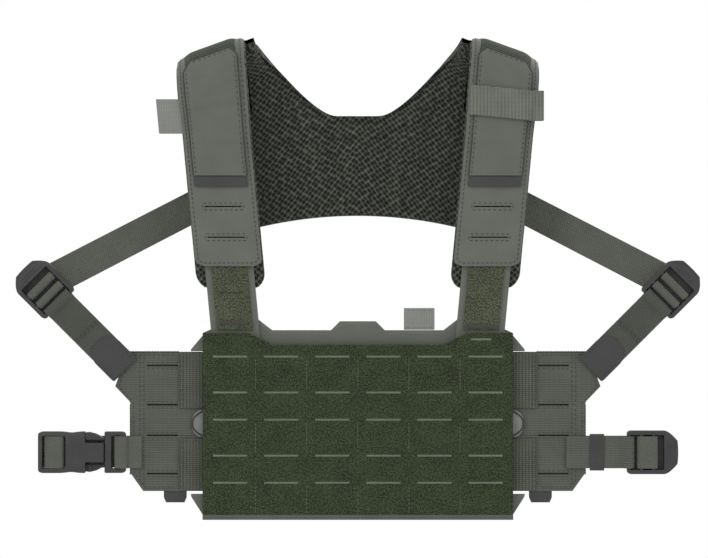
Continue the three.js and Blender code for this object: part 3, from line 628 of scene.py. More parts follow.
def sew(name, rows, place, body, slot="webbing", finish=THREAD, height=0.0, pitch=STITCH_PITCH,
        radius=STITCH_RADIUS):
    """Rows of stitches along polylines in the flat U and V of a place."""
    points, faces = [], []
    for row in rows:
        row, length = path_frame(row)
        count = max(1, int(length[-1] / pitch))
        for k in range(count):
            s = (k + 0.5) * length[-1] / count
            u, v = (np.interp(s, length, row[:, i]) for i in (0, 1))
            du, dv = (np.interp(s + 0.5, length, row[:, i]) - np.interp(s - 0.5, length, row[:, i])
                      for i in (0, 1))
            centre, ahead, above = (
                np.array([float(c) for c in place(np.array(a), np.array(b), np.array(h))])
                for a, b, h in ((u, v, height), (u + du, v + dv, height), (u, v, height + 1)))
            line = (ahead - centre) / np.linalg.norm(ahead - centre)
            up = (above - centre) / np.linalg.norm(above - centre)
            side = np.cross(up, line)
            basis = np.array([line * STITCH_LENGTH / 2, side * radius, up * radius])
            start = len(points) * len(stitch_points)
            points.append(centre + stitch_points[:, [2, 0, 1]] @ basis)
            faces.extend(tuple(start + i for i in face) for face in stitch_faces)
    mesh = bpy.data.meshes.new(name)
    mesh.from_pydata((np.vstack(points) * 0.001).tolist(), [], faces)
    obj = bpy.data.objects.new(name, mesh)
    bpy.context.collection.objects.link(obj)
    cloth = mesh.uv_layers.new(name="cloth")
    loops = np.empty(len(mesh.loops), dtype=int)
    mesh.loops.foreach_get("vertex_index", loops)
    cloth.data.foreach_set("uv", (np.vstack(points)[loops][:, [0, 2]]).ravel())
    mesh.materials.append(finish)
    deselect()
    obj.select_set(True)
    bpy.context.view_layer.objects.active = obj
    bpy.ops.object.mode_set(mode="EDIT")
    bpy.ops.mesh.select_all(action="SELECT")
    bpy.ops.mesh.normals_make_consistent(inside=False)
    bpy.ops.object.mode_set(mode="OBJECT")
    bpy.ops.object.shade_smooth()
    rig.slot(obj, slot)
    if body:
        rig.ride(obj, body)
    return obj


def blend_at_fold(obj, side, x0=118.5, x1=127.0):
    """A piece that crosses the fold beside the panel bends there with the wing."""
    wing = "left_wing" if side > 0 else "right_wing"
    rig.blend(obj, "harness", wing, (side * x0 * 0.001, 0, 0), (side * x1 * 0.001, 0, 0))


print("helpers ready")

# %% [markdown]
# ## Front panel
# Loop cloth with six columns of laser-cut slots in five rows. The slots are grid faces that are
# deleted before the cloth gets its thickness, and the bands between them swell a little.

# %% Panel layers
PANEL_LAYER = 8.4
PANEL_THICKNESS = 2.3
HALF_PANEL = 121
PANEL_TOP = -225
PANEL_BOTTOM = -361
EAR_TOP = -216
EAR_IN = 67
EAR_OUT = 85
SLOT_PITCH = 39.8
SLOT_X = [(c - 2.5) * SLOT_PITCH for c in range(6)]
SLOT_Z = [-234.4, -262.4, -283.6, -311.6, -332.8]
SLOT_HALF = 13.5
SLOT_HALF_HEIGHT = 0.8
EAR_SLOT = (96, -221)


def panel_top(x):
    return np.interp(np.abs(x), [0, EAR_IN, EAR_OUT, HALF_PANEL], [PANEL_TOP, PANEL_TOP, EAR_TOP, EAR_TOP])


def panel_outline(u, v):
    share = np.clip((v + 229) / (EAR_TOP + 229), 0, 1)
    z = np.where(v > -229, -229 + share * (panel_top(u) + 229), v)
    return u, z


def in_slot(u, v):
    ear = abs(u - EAR_SLOT[0]) < 8 and abs(v - EAR_SLOT[1]) < SLOT_HALF_HEIGHT
    rows = any(abs(v - z) < SLOT_HALF_HEIGHT for z in SLOT_Z)
    return ear or rows and any(abs(u - x) < SLOT_HALF for x in SLOT_X)


def panel_relief(u, v, w):
    swell = np.zeros_like(u)
    for top, low in (SLOT_Z[:2], SLOT_Z[2:4], (SLOT_Z[4], PANEL_BOTTOM)):
        share = np.clip((v - low) / (top - low), 0, 1)
        swell += np.where((v < top) & (v > low), np.sin(share * np.pi), 0)
    ripple = 0.18 * np.sin(u * 1.9 + 3 * np.sin(v * 0.8)) * np.sin(v * 2.3)
    droop = -0.7 * (np.abs(u) / HALF_PANEL) ** 10
    return w + np.where(w > 1, 0.45 * swell + ripple + droop, 0)


slot_us = [x + e for x in SLOT_X for e in (-SLOT_HALF, SLOT_HALF)]
ear_us = [EAR_SLOT[0] - 8, EAR_SLOT[0] + 8, EAR_IN, EAR_OUT, -EAR_IN, -EAR_OUT]
slot_vs = [z + e for z in SLOT_Z + [EAR_SLOT[1]] for e in (-SLOT_HALF_HEIGHT, SLOT_HALF_HEIGHT)]
panel = cut("front_panel_cloth", lines(-HALF_PANEL, HALF_PANEL, 2.2, slot_us + ear_us),
            lines(PANEL_BOTTOM, EAR_TOP, 2.0, slot_vs + [-229]), in_slot, panel_outline,
            PANEL_THICKNESS, 0.35)
lay(panel, chest(PANEL_LAYER), LOOP_PILE, "loop_panel", "harness", ["front_panel"], panel_relief)
print("front panel faces:", len(panel.data.polygons))

# %% Webbing seen through the slots
def beyond_slot(u, v):
    return not any(abs(u - x) < SLOT_HALF - 0.1 for x in SLOT_X)


for row, z in enumerate(SLOT_Z):
    tape = cut(f"slot_tape_{row + 1}", lines(-114, 114, 6, [x + e for x in SLOT_X for e in (-13.4, 13.4)]),
               lines(z - 0.75, z + 0.75, 0.75), beyond_slot, None, 0.5, 0)
    lay(tape, chest(PANEL_LAYER + 1.1), SLOT_TAPE, "pale_webbing", "harness")
tape = cut("ear_slot_tape", lines(88.1, 103.9, 4), lines(-221.75, -220.25, 0.75), None, None, 0.5, 0)
lay(tape, chest(PANEL_LAYER + 1.1), SLOT_TAPE, "pale_webbing", "harness")

# %% Panel stitching
flat_panel = chest(PANEL_LAYER)


def on_panel(u, v, w):
    return flat_panel(u, v, panel_relief(u, v, w))


face = PANEL_THICKNESS + 0.12
border = [[(-118, -358), (-118, -219), (-86, -219), (-68, -228), (68, -228), (86, -219), (118, -219),
           (118, -358), (-118, -358)]]
sew("panel_border_stitching", border, on_panel, "harness", height=face, finish=DARK_THREAD)
columns = []
for x in [(c - 2) * SLOT_PITCH for c in range(5)]:
    for top, low in (SLOT_Z[:2], SLOT_Z[2:4], (SLOT_Z[4], PANEL_BOTTOM + 2)):
        columns.append([(x, top - 2), (x, low + 2)])
sew("panel_column_stitching", columns, on_panel, "harness", height=face, pitch=2.9, finish=PANEL_THREAD)
# Painted shade: dark thread rows just above each slot and along each slot line between the slots darken the creases
# between the swelled bands.
slot_shade_rows = [[(x - SLOT_HALF - 1, z + 1.9), (x + SLOT_HALF + 1, z + 1.9)] for x in SLOT_X for z in SLOT_Z]
slot_shade_rows += [[(x + SLOT_HALF + 1.5, z), (x + SLOT_PITCH - SLOT_HALF - 1.5, z)]
              for x in SLOT_X[:-1] for z in SLOT_Z]
sew("panel_slot_stitching", slot_shade_rows, on_panel, "harness", height=face - 0.1, finish=DARK_THREAD)

# %% Panel hem
hem = cut("panel_hem", lines(-HALF_PANEL, HALF_PANEL, 4), lines(-361.6, -357.6, 1.3), thickness=0.6, hem=0.25)
lay(hem, chest(PANEL_LAYER + PANEL_THICKNESS), WING_WEBBING, "webbing", "harness")

# %% [markdown]
# ## Backing panel
# The laminate backer shows as a band above the loop panel, with a low crest in the middle and a
# flare up beside each shoulder strap. Rows of the grid are stretched to the outline's height.


# %% Backer
def backer_top(x):
    across = np.abs(x)
    return np.interp(across, [0, 14, 21, EAR_IN, EAR_OUT, HALF_PANEL], [-207, -207, -214, -214, -200, -216])


def backer_outline(u, v):
    z = np.where(v > -229, -229 + (v + 229) / 15 * (backer_top(u) + 229), v)
    return u, z


corner_us = [side * x for side in (1, -1) for x in (14, 21, EAR_IN, EAR_OUT)]
backer = cut("panel_backer_cloth", lines(-HALF_PANEL, HALF_PANEL, 3.0, corner_us),
             lines(PANEL_BOTTOM, -214, 3.0, [-229]), None, backer_outline, 2.2, 0.4)
lay(backer, chest(1.9), LAMINATE, "laminate", "harness", ["panel_backer"])
edge_row = [(x, float(backer_top(x)) - 2.6) for x in (-120, -85, -67, -22, -15, 15, 22, 67, 85, 120)]
sew("backer_edge_stitching", [edge_row], chest(1.9), "harness", height=2.25)

# %% Side tabs and gussets
for side, name in ((-1, "right"), (1, "left")):
    def tab_outline(u, v):
        reach = HALF_PANEL + (u - HALF_PANEL) * np.sqrt(np.clip(1 - ((v + 287) / 11) ** 2, 0.05, 1))
        return reach, v
    tab = cut(f"{name}_side_tab", lines(119.5, 130, 1.2, [HALF_PANEL]), lines(-297.5, -276.5, 1.2), None,
              tab_outline, 1.6, 0.5)
    lay(tab, chest(2.2, side), PALE_WEBBING, "pale_webbing", "harness")
    rim = [(129.4 - 9 * (abs(k) / 8) ** 2.4, -287 + k * 1.28) for k in range(-8, 9)]
    base = chest(3.9, side)
    sew(f"{name}_side_tab_edge", [rim], base, "harness", "dark_trim", DARK_TRIM, 0.1, 1.2, 0.8)
    for where, low, high in (("upper", -230.5, -218), ("lower", -358.5, -342)):
        slope = (lambda u, v, low=low, high=high, up=where == "upper":
                 (120 + (u - 120) * np.clip((high - v if up else v - low) / (high - low) + 0.12, 0, 1), v))
        gusset = cut(f"{name}_gusset_{where}", lines(120, 130.5, 1.5), lines(low, high, 1.5), None, slope,
                     1.4, 0.3)
        lay(gusset, chest(2.4, side), LAMINATE, "laminate", "harness")

# %% Body liner
liner = cut("body_liner_cloth", lines(-HALF_PANEL, HALF_PANEL, 4), lines(PANEL_BOTTOM, PANEL_TOP, 4), None, None,
            2, 0.6)
lay(liner, chest(-2.9), MESH, "spacer_mesh", "harness", ["body_liner"])
liner_rows = [[(-117, -357), (-117, -228), (117, -228), (117, -357), (-117, -357)]]
sew("liner_stitching", liner_rows, chest(-2.9), "harness", height=-0.05)

# %% Label tab
tab = cut("label_tab", lines(36, 60, 2), lines(-213.7, -196.7, 1.5), None, None, 1.0, 0.25)
lay(tab, chest(1.9), PALE_WEBBING, "pale_webbing", "harness", ["panel_pull_tab"],
    lambda u, v, w: w + 0.35 * np.sin((v + 213.7) / 17 * np.pi))
sew("label_tab_stitching", [[(37.5, -212), (58.5, -212)], [(37.5, -198.5), (58.5, -198.5)]],
    chest(1.9), "harness", height=1.1)

# %% [markdown]
# ## Shoulder straps and pads
# Each pad is a foam strip between a laminate face and a spacer-mesh lining, wrapped over the
# shoulder. The closed padded form pulls in at its edges; the face lies over it, and a stuffed
# sleeve with a dark cuff is sewn on the face.


# %% Pad outlines
def rounded_end(half, end, radius):
    """Narrows the rows near a piece's lower end to round its corners."""
    def outline(u, v):
        gap = np.clip((v - end) / radius, 0, 1)
        return u * (1 - radius / half * (1 - np.sqrt(1 - (1 - gap) ** 2))), v
    return outline


def pulled_in(half, low, high, keep, reach=9.0):
    """Thins a padded form towards its seams."""
    def relief(u, v, w):
        side = np.clip((half - np.abs(u)) / reach, 0, 1)
        ends = np.clip(np.minimum(v - low, high - v) / reach, 0, 1)
        share = np.minimum(side, ends)
        return w * (keep + (1 - keep) * np.sqrt(1 - (1 - share) ** 2))
    return relief


# %% Pads
SLEEVE_FOLDS = ((-0.7, 24), (0.5, 29), (-0.6, 52), (0.4, 57), (-0.5, 76))
for side, name in ((-1, "right"), (1, "left")):
    low, high = down(-183, 0), -down(-40, 0)
    foam_end = down(-140, 0)
    plump = pulled_in(27, low, high, 0.42)
    cushion = cut(f"{name}_pad_cushion", lines(-27, 27, 2.2), lines(low, high, 2.6), None,
                  rounded_end(27, low, 14), 8.0, 0.8)
    lay(cushion, shoulder(side, 0.1), MESH, "spacer_mesh", "harness",
        [f"{name}_pad_lining", f"{name}_pad_foam"],
        lambda u, v, w: plump(u, v, w) * np.interp(v, [foam_end - 4, foam_end + 6], [0.42, 1]))
    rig.padded(cushion, 0.5)

    low, high = down(-164, 8.6), -down(-40, 8.6)
    slit_vs = [down(z, 8.6) for z in (-117.5, -141.5)]
    def in_slit(u, v):
        return abs(u) < 14.5 and any(abs(v - s) < 0.5 for s in slit_vs)
    def face_relief(u, v, w):
        edge = np.clip((np.abs(u) - 16) / 10, 0, 1)
        wave = 0.25 * np.sin(v * 0.21 + u * 0.05) * (1 - edge)
        return w - 2.6 * edge ** 2.2 + wave
    face = cut(f"{name}_pad_face", lines(-26, 26, 2.0, (-14.5, 14.5)),
               lines(low, high, 2.4, [s + e for s in slit_vs for e in (-0.5, 0.5)]), in_slit,
               rounded_end(26, low, 6), 1.6, 0.4)
    lay(face, shoulder(side, 8.6), LAMINATE, "laminate", "harness", [f"{name}_pad_shell"], face_relief)
    place = shoulder(side, 8.6)
    top = down(-100, 8.6)
    def on_face(u, v, w, place=place):
        return place(u, v, face_relief(u, v, w))
    rows = [[(-23.5, high - 4), (-23.5, low + 5), (-20, low + 2.5), (20, low + 2.5), (23.5, low + 5),
             (23.5, high - 4)]]
    rows += [[(-16, s + e), (16, s + e)] for s in slit_vs for e in (-2.6, 2.6)]
    rows += [[(e * 16, s - 2.6), (e * 16, s + 2.6)] for s in slit_vs for e in (-1, 1)]
    sew(f"{name}_pad_stitching", rows, on_face, "harness", finish=DARK_THREAD, height=1.6, radius=0.42)

    low, high = down(-93.5, 10.5), -29.0

    def sleeve_outline(u, v, high=high):
        return u * np.interp(v, [high - 8, high], [1, 0.72]), v

    def sleeve_relief(u, v, w, low=low):
        edge = np.clip((np.abs(u) - 13.5) / 7.5, 0, 1)
        fold = sum(a * np.exp(-(((v - low - c) / 2.2) ** 2)) for a, c in SLEEVE_FOLDS)
        return w * (1 - 0.62 * edge ** 2.4) + np.where(w > 1, fold * (1 - edge), 0)
    sleeve = cut(f"{name}_sleeve_cloth", lines(-21, 21, 1.6), lines(low, high, 1.6), None, sleeve_outline,
                 3.5, 0.4)
    lay(sleeve, shoulder(side, 10.5), SLEEVE_CLOTH, "laminate", "harness", [f"{name}_sleeve"], sleeve_relief)
    place = shoulder(side, 10.5)
    def on_sleeve(u, v, w, place=place):
        return place(u, v, 3.55 * (1 - 0.62 * np.clip((np.abs(u) - 13.5) / 7.5, 0, 1) ** 2.4) + w)
    sew(f"{name}_sleeve_stitching", [[(e * 18.8, high - 9), (e * 18.8, low + 1)] for e in (-1, 1)]
        + [[(-14, high - 2.4), (14, high - 2.4)]], on_sleeve, "harness", finish=DARK_THREAD, radius=0.4)

    rim = [(-21, low), (-21, high - 8), (-15.2, high), (15.2, high), (21, high - 8), (21, low)]
    sew(f"{name}_sleeve_edge", [rim], on_sleeve, "harness",
        "dark_trim", DARK_TRIM, 0.1, 2.1, 0.75)

    low, high = down(-101.8, 10.5), down(-93.7, 10.5)
    cuff = cut(f"{name}_cuff", lines(-21, 21, 1.8), lines(low, high, 1.3), None, None, 2.4, 0.5)
    lay(cuff, shoulder(side, 10.5), DARK_TRIM, "dark_trim", "harness", [f"{name}_sleeve_cuff"],
        lambda u, v, w: w * (1 - 0.5 * np.clip((np.abs(u) - 15) / 6, 0, 1) ** 2))

    low, high = -45.0, 9.0
    cap = cut(f"{name}_shoulder_cap", lines(-20.5, 20.5, 1.6), lines(low, high, 1.6), None, None, 1.4, 0.4)
    lay(cap, shoulder(side, 10.35), CAP_PILE, "loop_panel", "harness", (),
        lambda u, v, w: w - 2.3 * np.clip((np.abs(u) - 13) / 7.5, 0, 1) ** 2.2
        + np.where(w > 0.7, 0.12 * np.sin(u * 2.1 + v) * np.sin(v * 2.4), 0))
print("pads made")

# %% Strap tongues
for side, name in ((-1, "right"), (1, "left")):
    def strap(u, v, side=side):
        return PAD_CENTRE + LEAN * v + u, v
    low, high = -226, -138.3
    slit_z = -184.7
    tongue = cut(f"{name}_tongue_cloth", lines(-19, 19, 2), lines(low, high, 2.4), None, strap, 2.0, 0.4)
    lay(tongue, chest(4.4, side), LAMINATE, "laminate", "harness", [f"{name}_strap_tongue"])
    low = -213.7
    loops = cut(f"{name}_strap_loop_cloth", lines(-14, 14, 1.6),
                lines(low, high, 1.6, (slit_z - 0.5, slit_z + 0.5)),
                (lambda u, v: abs(v - slit_z) < 0.5 and abs(u) < 10) if side < 0 else None, strap, 1.2, 0.3)
    lay(loops, chest(6.7, side), STRAP_PILE, "loop_panel", "harness", [f"{name}_strap_loop_face"],
        lambda u, v, w: w + np.where(w > 0.6, 0.12 * np.sin(u * 2.1 + v) * np.sin(v * 2.4), 0))
    on_strap = (lambda u, v, w, base=chest(4.4, side): base(PAD_CENTRE + LEAN * v + u, v, w))
    sew(f"{name}_tongue_stitching", [[(e * 16.6, high - 1), (e * 16.6, -214)] for e in (-1, 1)], on_strap,
        "harness", height=2.05)
    tack_z = -211 if side > 0 else -208
    tack = cut(f"{name}_bar_tack", lines(-11, 11, 1.5), lines(tack_z - 1.3, tack_z + 1.3, 1), None, strap,
                   0.7, 0.25)
    lay(tack, chest(7.95, side), DARK_TRIM, "dark_trim", "harness")
print("strap tongues made")

# %% [markdown]
# ## Yoke
# The yoke behind the neck is a broad padded web of spacer mesh with a laminate back. Its grid
# runs in columns from the lower edge up to the neck curve, and it follows the same arch as the
# pads, so it climbs beside them towards the crown.


# %% Yoke outline
def yoke_bottom(x):
    across = np.abs(x)
    curve = -123 - 14 * np.clip(across / 98, 0, 1) ** 2
    return np.where(across <= 98, curve, np.interp(across, [98, 104, 139], [-137, -80, -41.5]))


def arch_length(z, x, radius):
    """The V on the arch of a height, at a distance from the middle."""
    level = z - SLOPE * (PAD_CENTRE - np.abs(x))
    on_arc = radius * np.arccos(np.clip((level + CHEST) / radius, -1, 1))
    return np.where(level < -CHEST, math.pi / 2 * radius - CHEST - level, on_arc)


NECK_LEVEL = -43.4
NECK = [(p, 16 + 44 * p + 31.8 * p * p, NECK_LEVEL + (30 - NECK_LEVEL) * p * p) for p in np.linspace(0, 1, 30)]


def yoke_top(x):
    across = np.abs(x)
    neck = np.interp(across, [0] + [n[1] for n in NECK], [NECK_LEVEL] + [n[2] for n in NECK])
    return np.where(across < 93, neck, -40.5)


PAD_BACK_END = -40.5
ROW_SPLIT = 0.6
PAD_EDGE_X = 84.9


def yoke_outline(radius):
    """Rows run from the lower edge to the pads' back ends, and above them to the neck edge."""
    def outline(u, v):
        low, high = yoke_bottom(u), yoke_top(u)
        share = np.clip((np.abs(u) - 35) / 40, 0, 1)
        middle = (low + (high - low) * ROW_SPLIT) * (1 - share) + PAD_BACK_END * share
        lower = low + (middle - low) * v / ROW_SPLIT
        upper = middle + (high - middle) * (v - ROW_SPLIT) / (1 - ROW_SPLIT)
        z = np.where(v <= ROW_SPLIT, lower, upper)
        beside = np.maximum((88.5 + LEAN * z) / PAD_EDGE_X, 1) - 1
        reach = 1 + beside * np.clip(np.abs(u) / PAD_EDGE_X, 0, 1) ** 6
        x = np.where(np.abs(u) <= PAD_EDGE_X + 0.05, u * reach, u)
        return x, arch_length(z, x, radius)
    return outline


def above_flap(u, v):
    return abs(u) > PAD_EDGE_X and v > ROW_SPLIT


def yoke_edge(u, v):
    """How near a place is to the yoke's edge, in millimetres."""
    x = np.abs(u)
    radius = CHEST + 3
    low, high = arch_length(yoke_bottom(u), u, radius), arch_length(yoke_top(u), u, radius)
    return np.clip(np.minimum(np.abs(v - high), np.abs(low - v)), 0, 60), x


# %% Yoke pieces
yoke_us = lines(-138, 138, 2.6, (-104, -98, -PAD_EDGE_X, PAD_EDGE_X, 98, 104))
yoke_vs = np.concatenate([[0, 0.012, 0.03, 0.055], np.linspace(0.09, ROW_SPLIT, 22),
                          np.linspace(0.63, 0.93, 14), [0.955, 0.975, 0.99, 1]])


def mesh_relief(u, v, w):
    near, _ = yoke_edge(u, v)
    share = np.clip(near / 12, 0, 1)
    keep = 0.4 + 0.6 * np.sqrt(1 - (1 - share) ** 2)
    seam = np.exp(-((near - 14) / 1.6) ** 2) * 2.2 * (np.abs(u) < 40)
    spine = 3.0 * np.exp(-((np.abs(u) - 24) / 5) ** 2) + 2.0 * np.exp(-(u / 4) ** 2)
    folds = 1.3 * np.sin(np.abs(u) * 0.19 + v * 0.035) * share
    return np.where(w < 4, 4.2 - (4.2 - w) * keep + (seam + spine * share + folds), 4.2 + (w - 4.2) * keep)


cushion = cut("yoke_cushion", yoke_us, yoke_vs, above_flap, yoke_outline(CHEST), 8.0, 0)
lay(cushion, shoulder(1, 0.1, True), MESH, "spacer_mesh", "harness", ["yoke_mesh", "yoke_foam"],
    mesh_relief, 60)
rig.padded(cushion, 0.5)
cover = cut("yoke_cover", yoke_us, yoke_vs, above_flap, yoke_outline(CHEST + 8.6), 1.6, 0)
lay(cover, shoulder(1, 8.6, True), LAMINATE, "laminate", "harness", ["yoke_shell"],
    lambda u, v, w: w - 2.4 * (1 - np.clip(yoke_edge(u, v)[0] / 9, 0, 1)) ** 2.2, 60)
place = shoulder(1, 8.6, True)
rows = []
for inset in (5.0, 8.0):
    low_row = [(x, float(arch_length(yoke_bottom(x) + inset, x, CHEST + 8.6))) for x in range(-94, 95, 4)]
    high_row = [(x, float(arch_length(yoke_top(x) - inset, x, CHEST + 8.6))) for x in range(-82, 83, 3)]
    rows += [low_row, high_row]
sew("yoke_stitching", rows, place, "harness", height=1.5)
place = shoulder(1, 0.1, True)
print("yoke made:", len(cushion.data.polygons), "faces")

# %% Pad trim
pull = cut("pull_tab", lines(-19.5, 0.5, 1.4), lines(-60.5, -33.5, 1.5), None,
           lambda u, v: (-(PAD_CENTRE + LEAN * v + 27) + 1.5 + u, v), 1.1, 0.3)
lay(pull, chest(4.3), PALE_WEBBING, "pale_webbing", "harness", ["right_pull_tab"],
    lambda u, v, w: w + 0.5 * np.sin((v + 60.5) / 27 * np.pi))
low, high = -48.5, -25.5
keeper = cut("keeper_band", lines(-25, 26, 1.0), lines(low, high, 1.1), None,
             lambda u, v: (PAD_CENTRE + LEAN * v + u, v - 0.1 * u), 2.0, 0.5)


def rib_relief(u, v, w):
    across = u - PAD_CENTRE - LEAN * v
    rib = 0.5 * np.abs(np.sin(across * 1.15))
    edge = np.clip((np.abs(across) - 17) / 9, 0, 1)
    return w - 4.6 * edge ** 2 + np.where(w > 1, rib, 0)


lay(keeper, chest(14.4), KEEPER_WEBBING, "webbing", "harness", ["left_keeper_band"], rib_relief)
path = ring(22.6, 32.4, -6.5, 3.6, 2.2)
LOOP_LEVEL = -37
loop_at = PAD_CENTRE + LEAN * LOOP_LEVEL


def beside_pad(u, v, w):
    return loop_at + u, -CHEST - 10.5 - w, LOOP_LEVEL - 2 + v


ribbon("keeper_loop", path, beside_pad, 23, 1.1, KEEPER_WEBBING, "webbing", "harness",
       ["left_keeper_loop"], True, 1.2)
print("pad trim made")

# %% [markdown]
# ## Wings
# A wing is flat webbing cloth with laser-cut slits, sewn to the panel and free to fold back beside
# the body. The cloth runs on inside the panel, so it is one piece that blends between the two
# bodies instead of a plate that swings away from its seam.


# %% Wing pieces
def wing_outline(u, v):
    edge = np.interp(v, [-340, -326, -270.5, -258, -231], [168, 178, 178, 190, 180])
    return np.where(u > 166, 166 + (u - 166) / 24 * (edge - 166), u), v


SLIT_Z = [-241.7, -272.4, -296.4, -326.4]


def wing_relief(u, v, w):
    bands = 0.3 * np.abs(np.sin((v + 231) / 109 * np.pi * 4)) ** 0.6
    return w + np.where(w > 1, bands, 0)


for side, name in ((-1, "right"), (1, "left")):
    body = f"{name}_wing"
    us = lines(113, 190, 1.8, (119, 141, 165, 166))
    vs = lines(-340, -231, 2.0, [z + e for z in SLIT_Z for e in (-0.7, 0.7)])
    wing = cut(f"{name}_wing_cloth", us, vs,
               lambda u, v: 141 < u < 165 and any(abs(v - z) < 0.7 for z in SLIT_Z), wing_outline, 2.0, 0.35)
    lay(wing, chest(-0.55, side), WING_WEBBING, "webbing", None, [f"{name}_wing"], wing_relief)
    blend_at_fold(wing, side)
    # A thin sheet behind the slits, cut in the dark trim cloth as painted shade: it stands for the shadowed layer
    # behind the wing.
    shade_backing = cut(f"{name}_wing_shade_backing", lines(138, 167, 3), lines(-337, -238, 4), None, None, 0.3, 0)
    lay(shade_backing, chest(-0.95, side), DARK_TRIM, "webbing", body)
    on_wing = chest(-0.55, side)
    rows = [[(143, -337.5), (166, -337.5), (175.5, -325), (175.5, -271.5), (187, -258),
             (177.5, -233.5), (143, -233.5)]]
    rows += [[(140, z + e), (166, z + e)] for z in SLIT_Z for e in (-2.4, 2.4)]
    rows += [[(167.5, -336), (167.5, -234)], [(170.5, -334), (170.5, -234)]]
    sew(f"{name}_wing_stitching", rows, on_wing, body, height=2.2, finish=DARK_THREAD)

    # Painted shade: dark trim rows along the wing's top and outer edges and at the inner end of a slit line, where the
    # shadowed layer behind the wing shows.
    sew(f"{name}_wing_shade_edge", [[(140, -231), (179, -231)], [(141, -296.4), (127, -296.4)],
                              [(178, -272), (178, -327)]], on_wing, body, "dark_trim", DARK_TRIM, 1.9, 2.1, 0.7)
    for part, low, high in (("upper", -275, -232), ("lower", -339, -299)):
        band = cut(f"{name}_elastic_{part}_cloth", lines(121.5, 140, 1.1), lines(low, high, 1.2), None,
                   None, 1.4, 0.3)
        lay(band, chest(1.95, side), ELASTIC, "elastic", None, [f"{name}_wing_elastic_{part}"],
            lambda u, v, w: w + np.where(w > 0.7, 0.22 * np.sin(v * 2.6) * np.sin(u * 1.6), 0))
        blend_at_fold(band, side, 120.5, 127)
        sew(f"{name}_elastic_{part}_stitching", [[(e, low + 1), (e, high - 1)] for e in (136.8, 138.8)],
            chest(1.95, side), body, height=1.45, finish=DARK_THREAD)
    low = -349
    hook = cut(f"{name}_hook_tab_cloth", lines(134, 152, 1.5), lines(low, -339.5, 1.2), None,
               lambda u, v: (143 + (u - 143) * np.interp(v, [-349, -345], [0.8, 1]), v), 1.4, 0.4)
    lay(hook, chest(-0.5, side), DARK_TRIM, "dark_trim", body, [f"{name}_hook_tab"])
print("wings made")

# %% [markdown]
# ## Arms, ladder locks and diagonal straps
# An arm is webbing that loops round the first bar of its ladder lock. A ladder lock is a moulded
# frame: its windows are cut as grid faces, its body is bevelled, and its nose is thinned and ribbed.


# %% Frames for webbing hardware
def hardware(origin, side, angle, layer):
    along = np.array([side * math.cos(angle), 0, math.sin(angle)])
    front = np.array([0, -1.0, 0])
    across = np.cross(front, along)
    start = np.array([side * origin[0], -CHEST - layer, origin[1]])

    def place(u, v, w):
        return tuple(start[k] + u * along[k] + v * across[k] + w * front[k] for k in range(3))
    return place


# %% Ladder locks
LOCK_BAR = 3.0
LOCK_WINDOW = 6.6
LOCK_PITCH = LOCK_BAR + LOCK_WINDOW
LOCK_LENGTH = 40
LOCK_HALF = 17.0
LOCK_INSIDE = 13.3
LOCK_NOSE = 11.2
LOCK_WINDOWS = 3


def ladder_lock(name, base, body, replaced):
    first = LOCK_BAR / 2
    end = LOCK_LENGTH - first
    shoulder_u = end - LOCK_NOSE
    starts = [first + i * LOCK_PITCH for i in range(LOCK_WINDOWS)]

    def in_window(u, v):
        return abs(v) < LOCK_INSIDE and any(a < u < a + LOCK_WINDOW for a in starts)

    def outline(u, v):
        over = np.clip((u - shoulder_u) / LOCK_NOSE, 0, 1)
        start = np.clip((1.5 - u) / 3, 0, 1)
        share = (LOCK_HALF - 8 * over ** 1.9 - 1.5 * start ** 2) / LOCK_HALF
        across = v * share
        bow = 1.8 * (1 - (across / LOCK_HALF) ** 2) * over
        return u + bow - 1.8 * over, across

    def relief(u, v, w):
        over = np.clip((u - shoulder_u) / LOCK_NOSE, 0, 1)
        grip = 0.35 * np.sin((u - shoulder_u) * 2.1) * (over > 0.1) * (over < 0.9) * (np.abs(v) < 9)
        rail = 0.5 * (np.abs(v) > LOCK_INSIDE + 0.5) * (u < shoulder_u)
        return w * (1 - 0.3 * over) + np.sign(w) * (grip + rail)

    us = lines(-first, end, 1.2, starts + [a + LOCK_WINDOW for a in starts])
    vs = lines(-LOCK_HALF, LOCK_HALF, 1.5, (-LOCK_INSIDE, LOCK_INSIDE, -15.4, 15.4))
    lock = cut(name, us, vs, in_window, outline, 5, 0.9, 3)
    return lay(lock, (lambda u, v, w: base(u, v, relief(u, v, w - 2.5))), PLASTIC, "plastic", body, replaced,
               angle=35)


BAR_LOOP = ([(-62, 0.42)]
            + [(-math.cos(a) * 3.6, math.sin(a) * 3.6) for a in np.linspace(0.2, 2 * math.pi - 0.2, 26)]
            + [(-62, -0.42)])


def bar_loop(run):
    return [(-run, 0.42)] + BAR_LOOP[1:-1] + [(-run, -0.42)]


def bar_wrap(first, last):
    u0 = first * LOCK_PITCH - 3.3
    u1 = last * LOCK_PITCH + 3.3
    return ring(u0, u1, -3.1, 4.0, 3.2)


def weave_wobble(u, v, w):
    return w + 0.1 * np.sin(u * 0.9 + 1.3 * np.sin(v * 0.5))


# %% Straight runs and lock beds
def webbing_run(name, start, end, place, part, hem=0.4, edges=()):
    """A straight piece of 25 mm webbing from start to end, to be bent by a blend."""
    strap = cut(name, lines(start, end, 3, edges), lines(-12.5, 12.5, 1.6), None, None, 1.5, hem)
    return lay(strap, place, WEBBING, "webbing", None, part)


def shaded_lock_bed(name, base, body):
    """The webbing under a lock's windows, cut in the dark trim cloth as painted shade in the windows' recesses."""
    bed = cut(name, lines(-1, 29, 2), lines(-14.2, 14.2, 1.8), None, None, 0.7, 0.2)
    lay(bed, (lambda u, v, w: base(u, v, w - 3.3)), DARK_TRIM, "webbing", body)


print("webbing helpers ready")

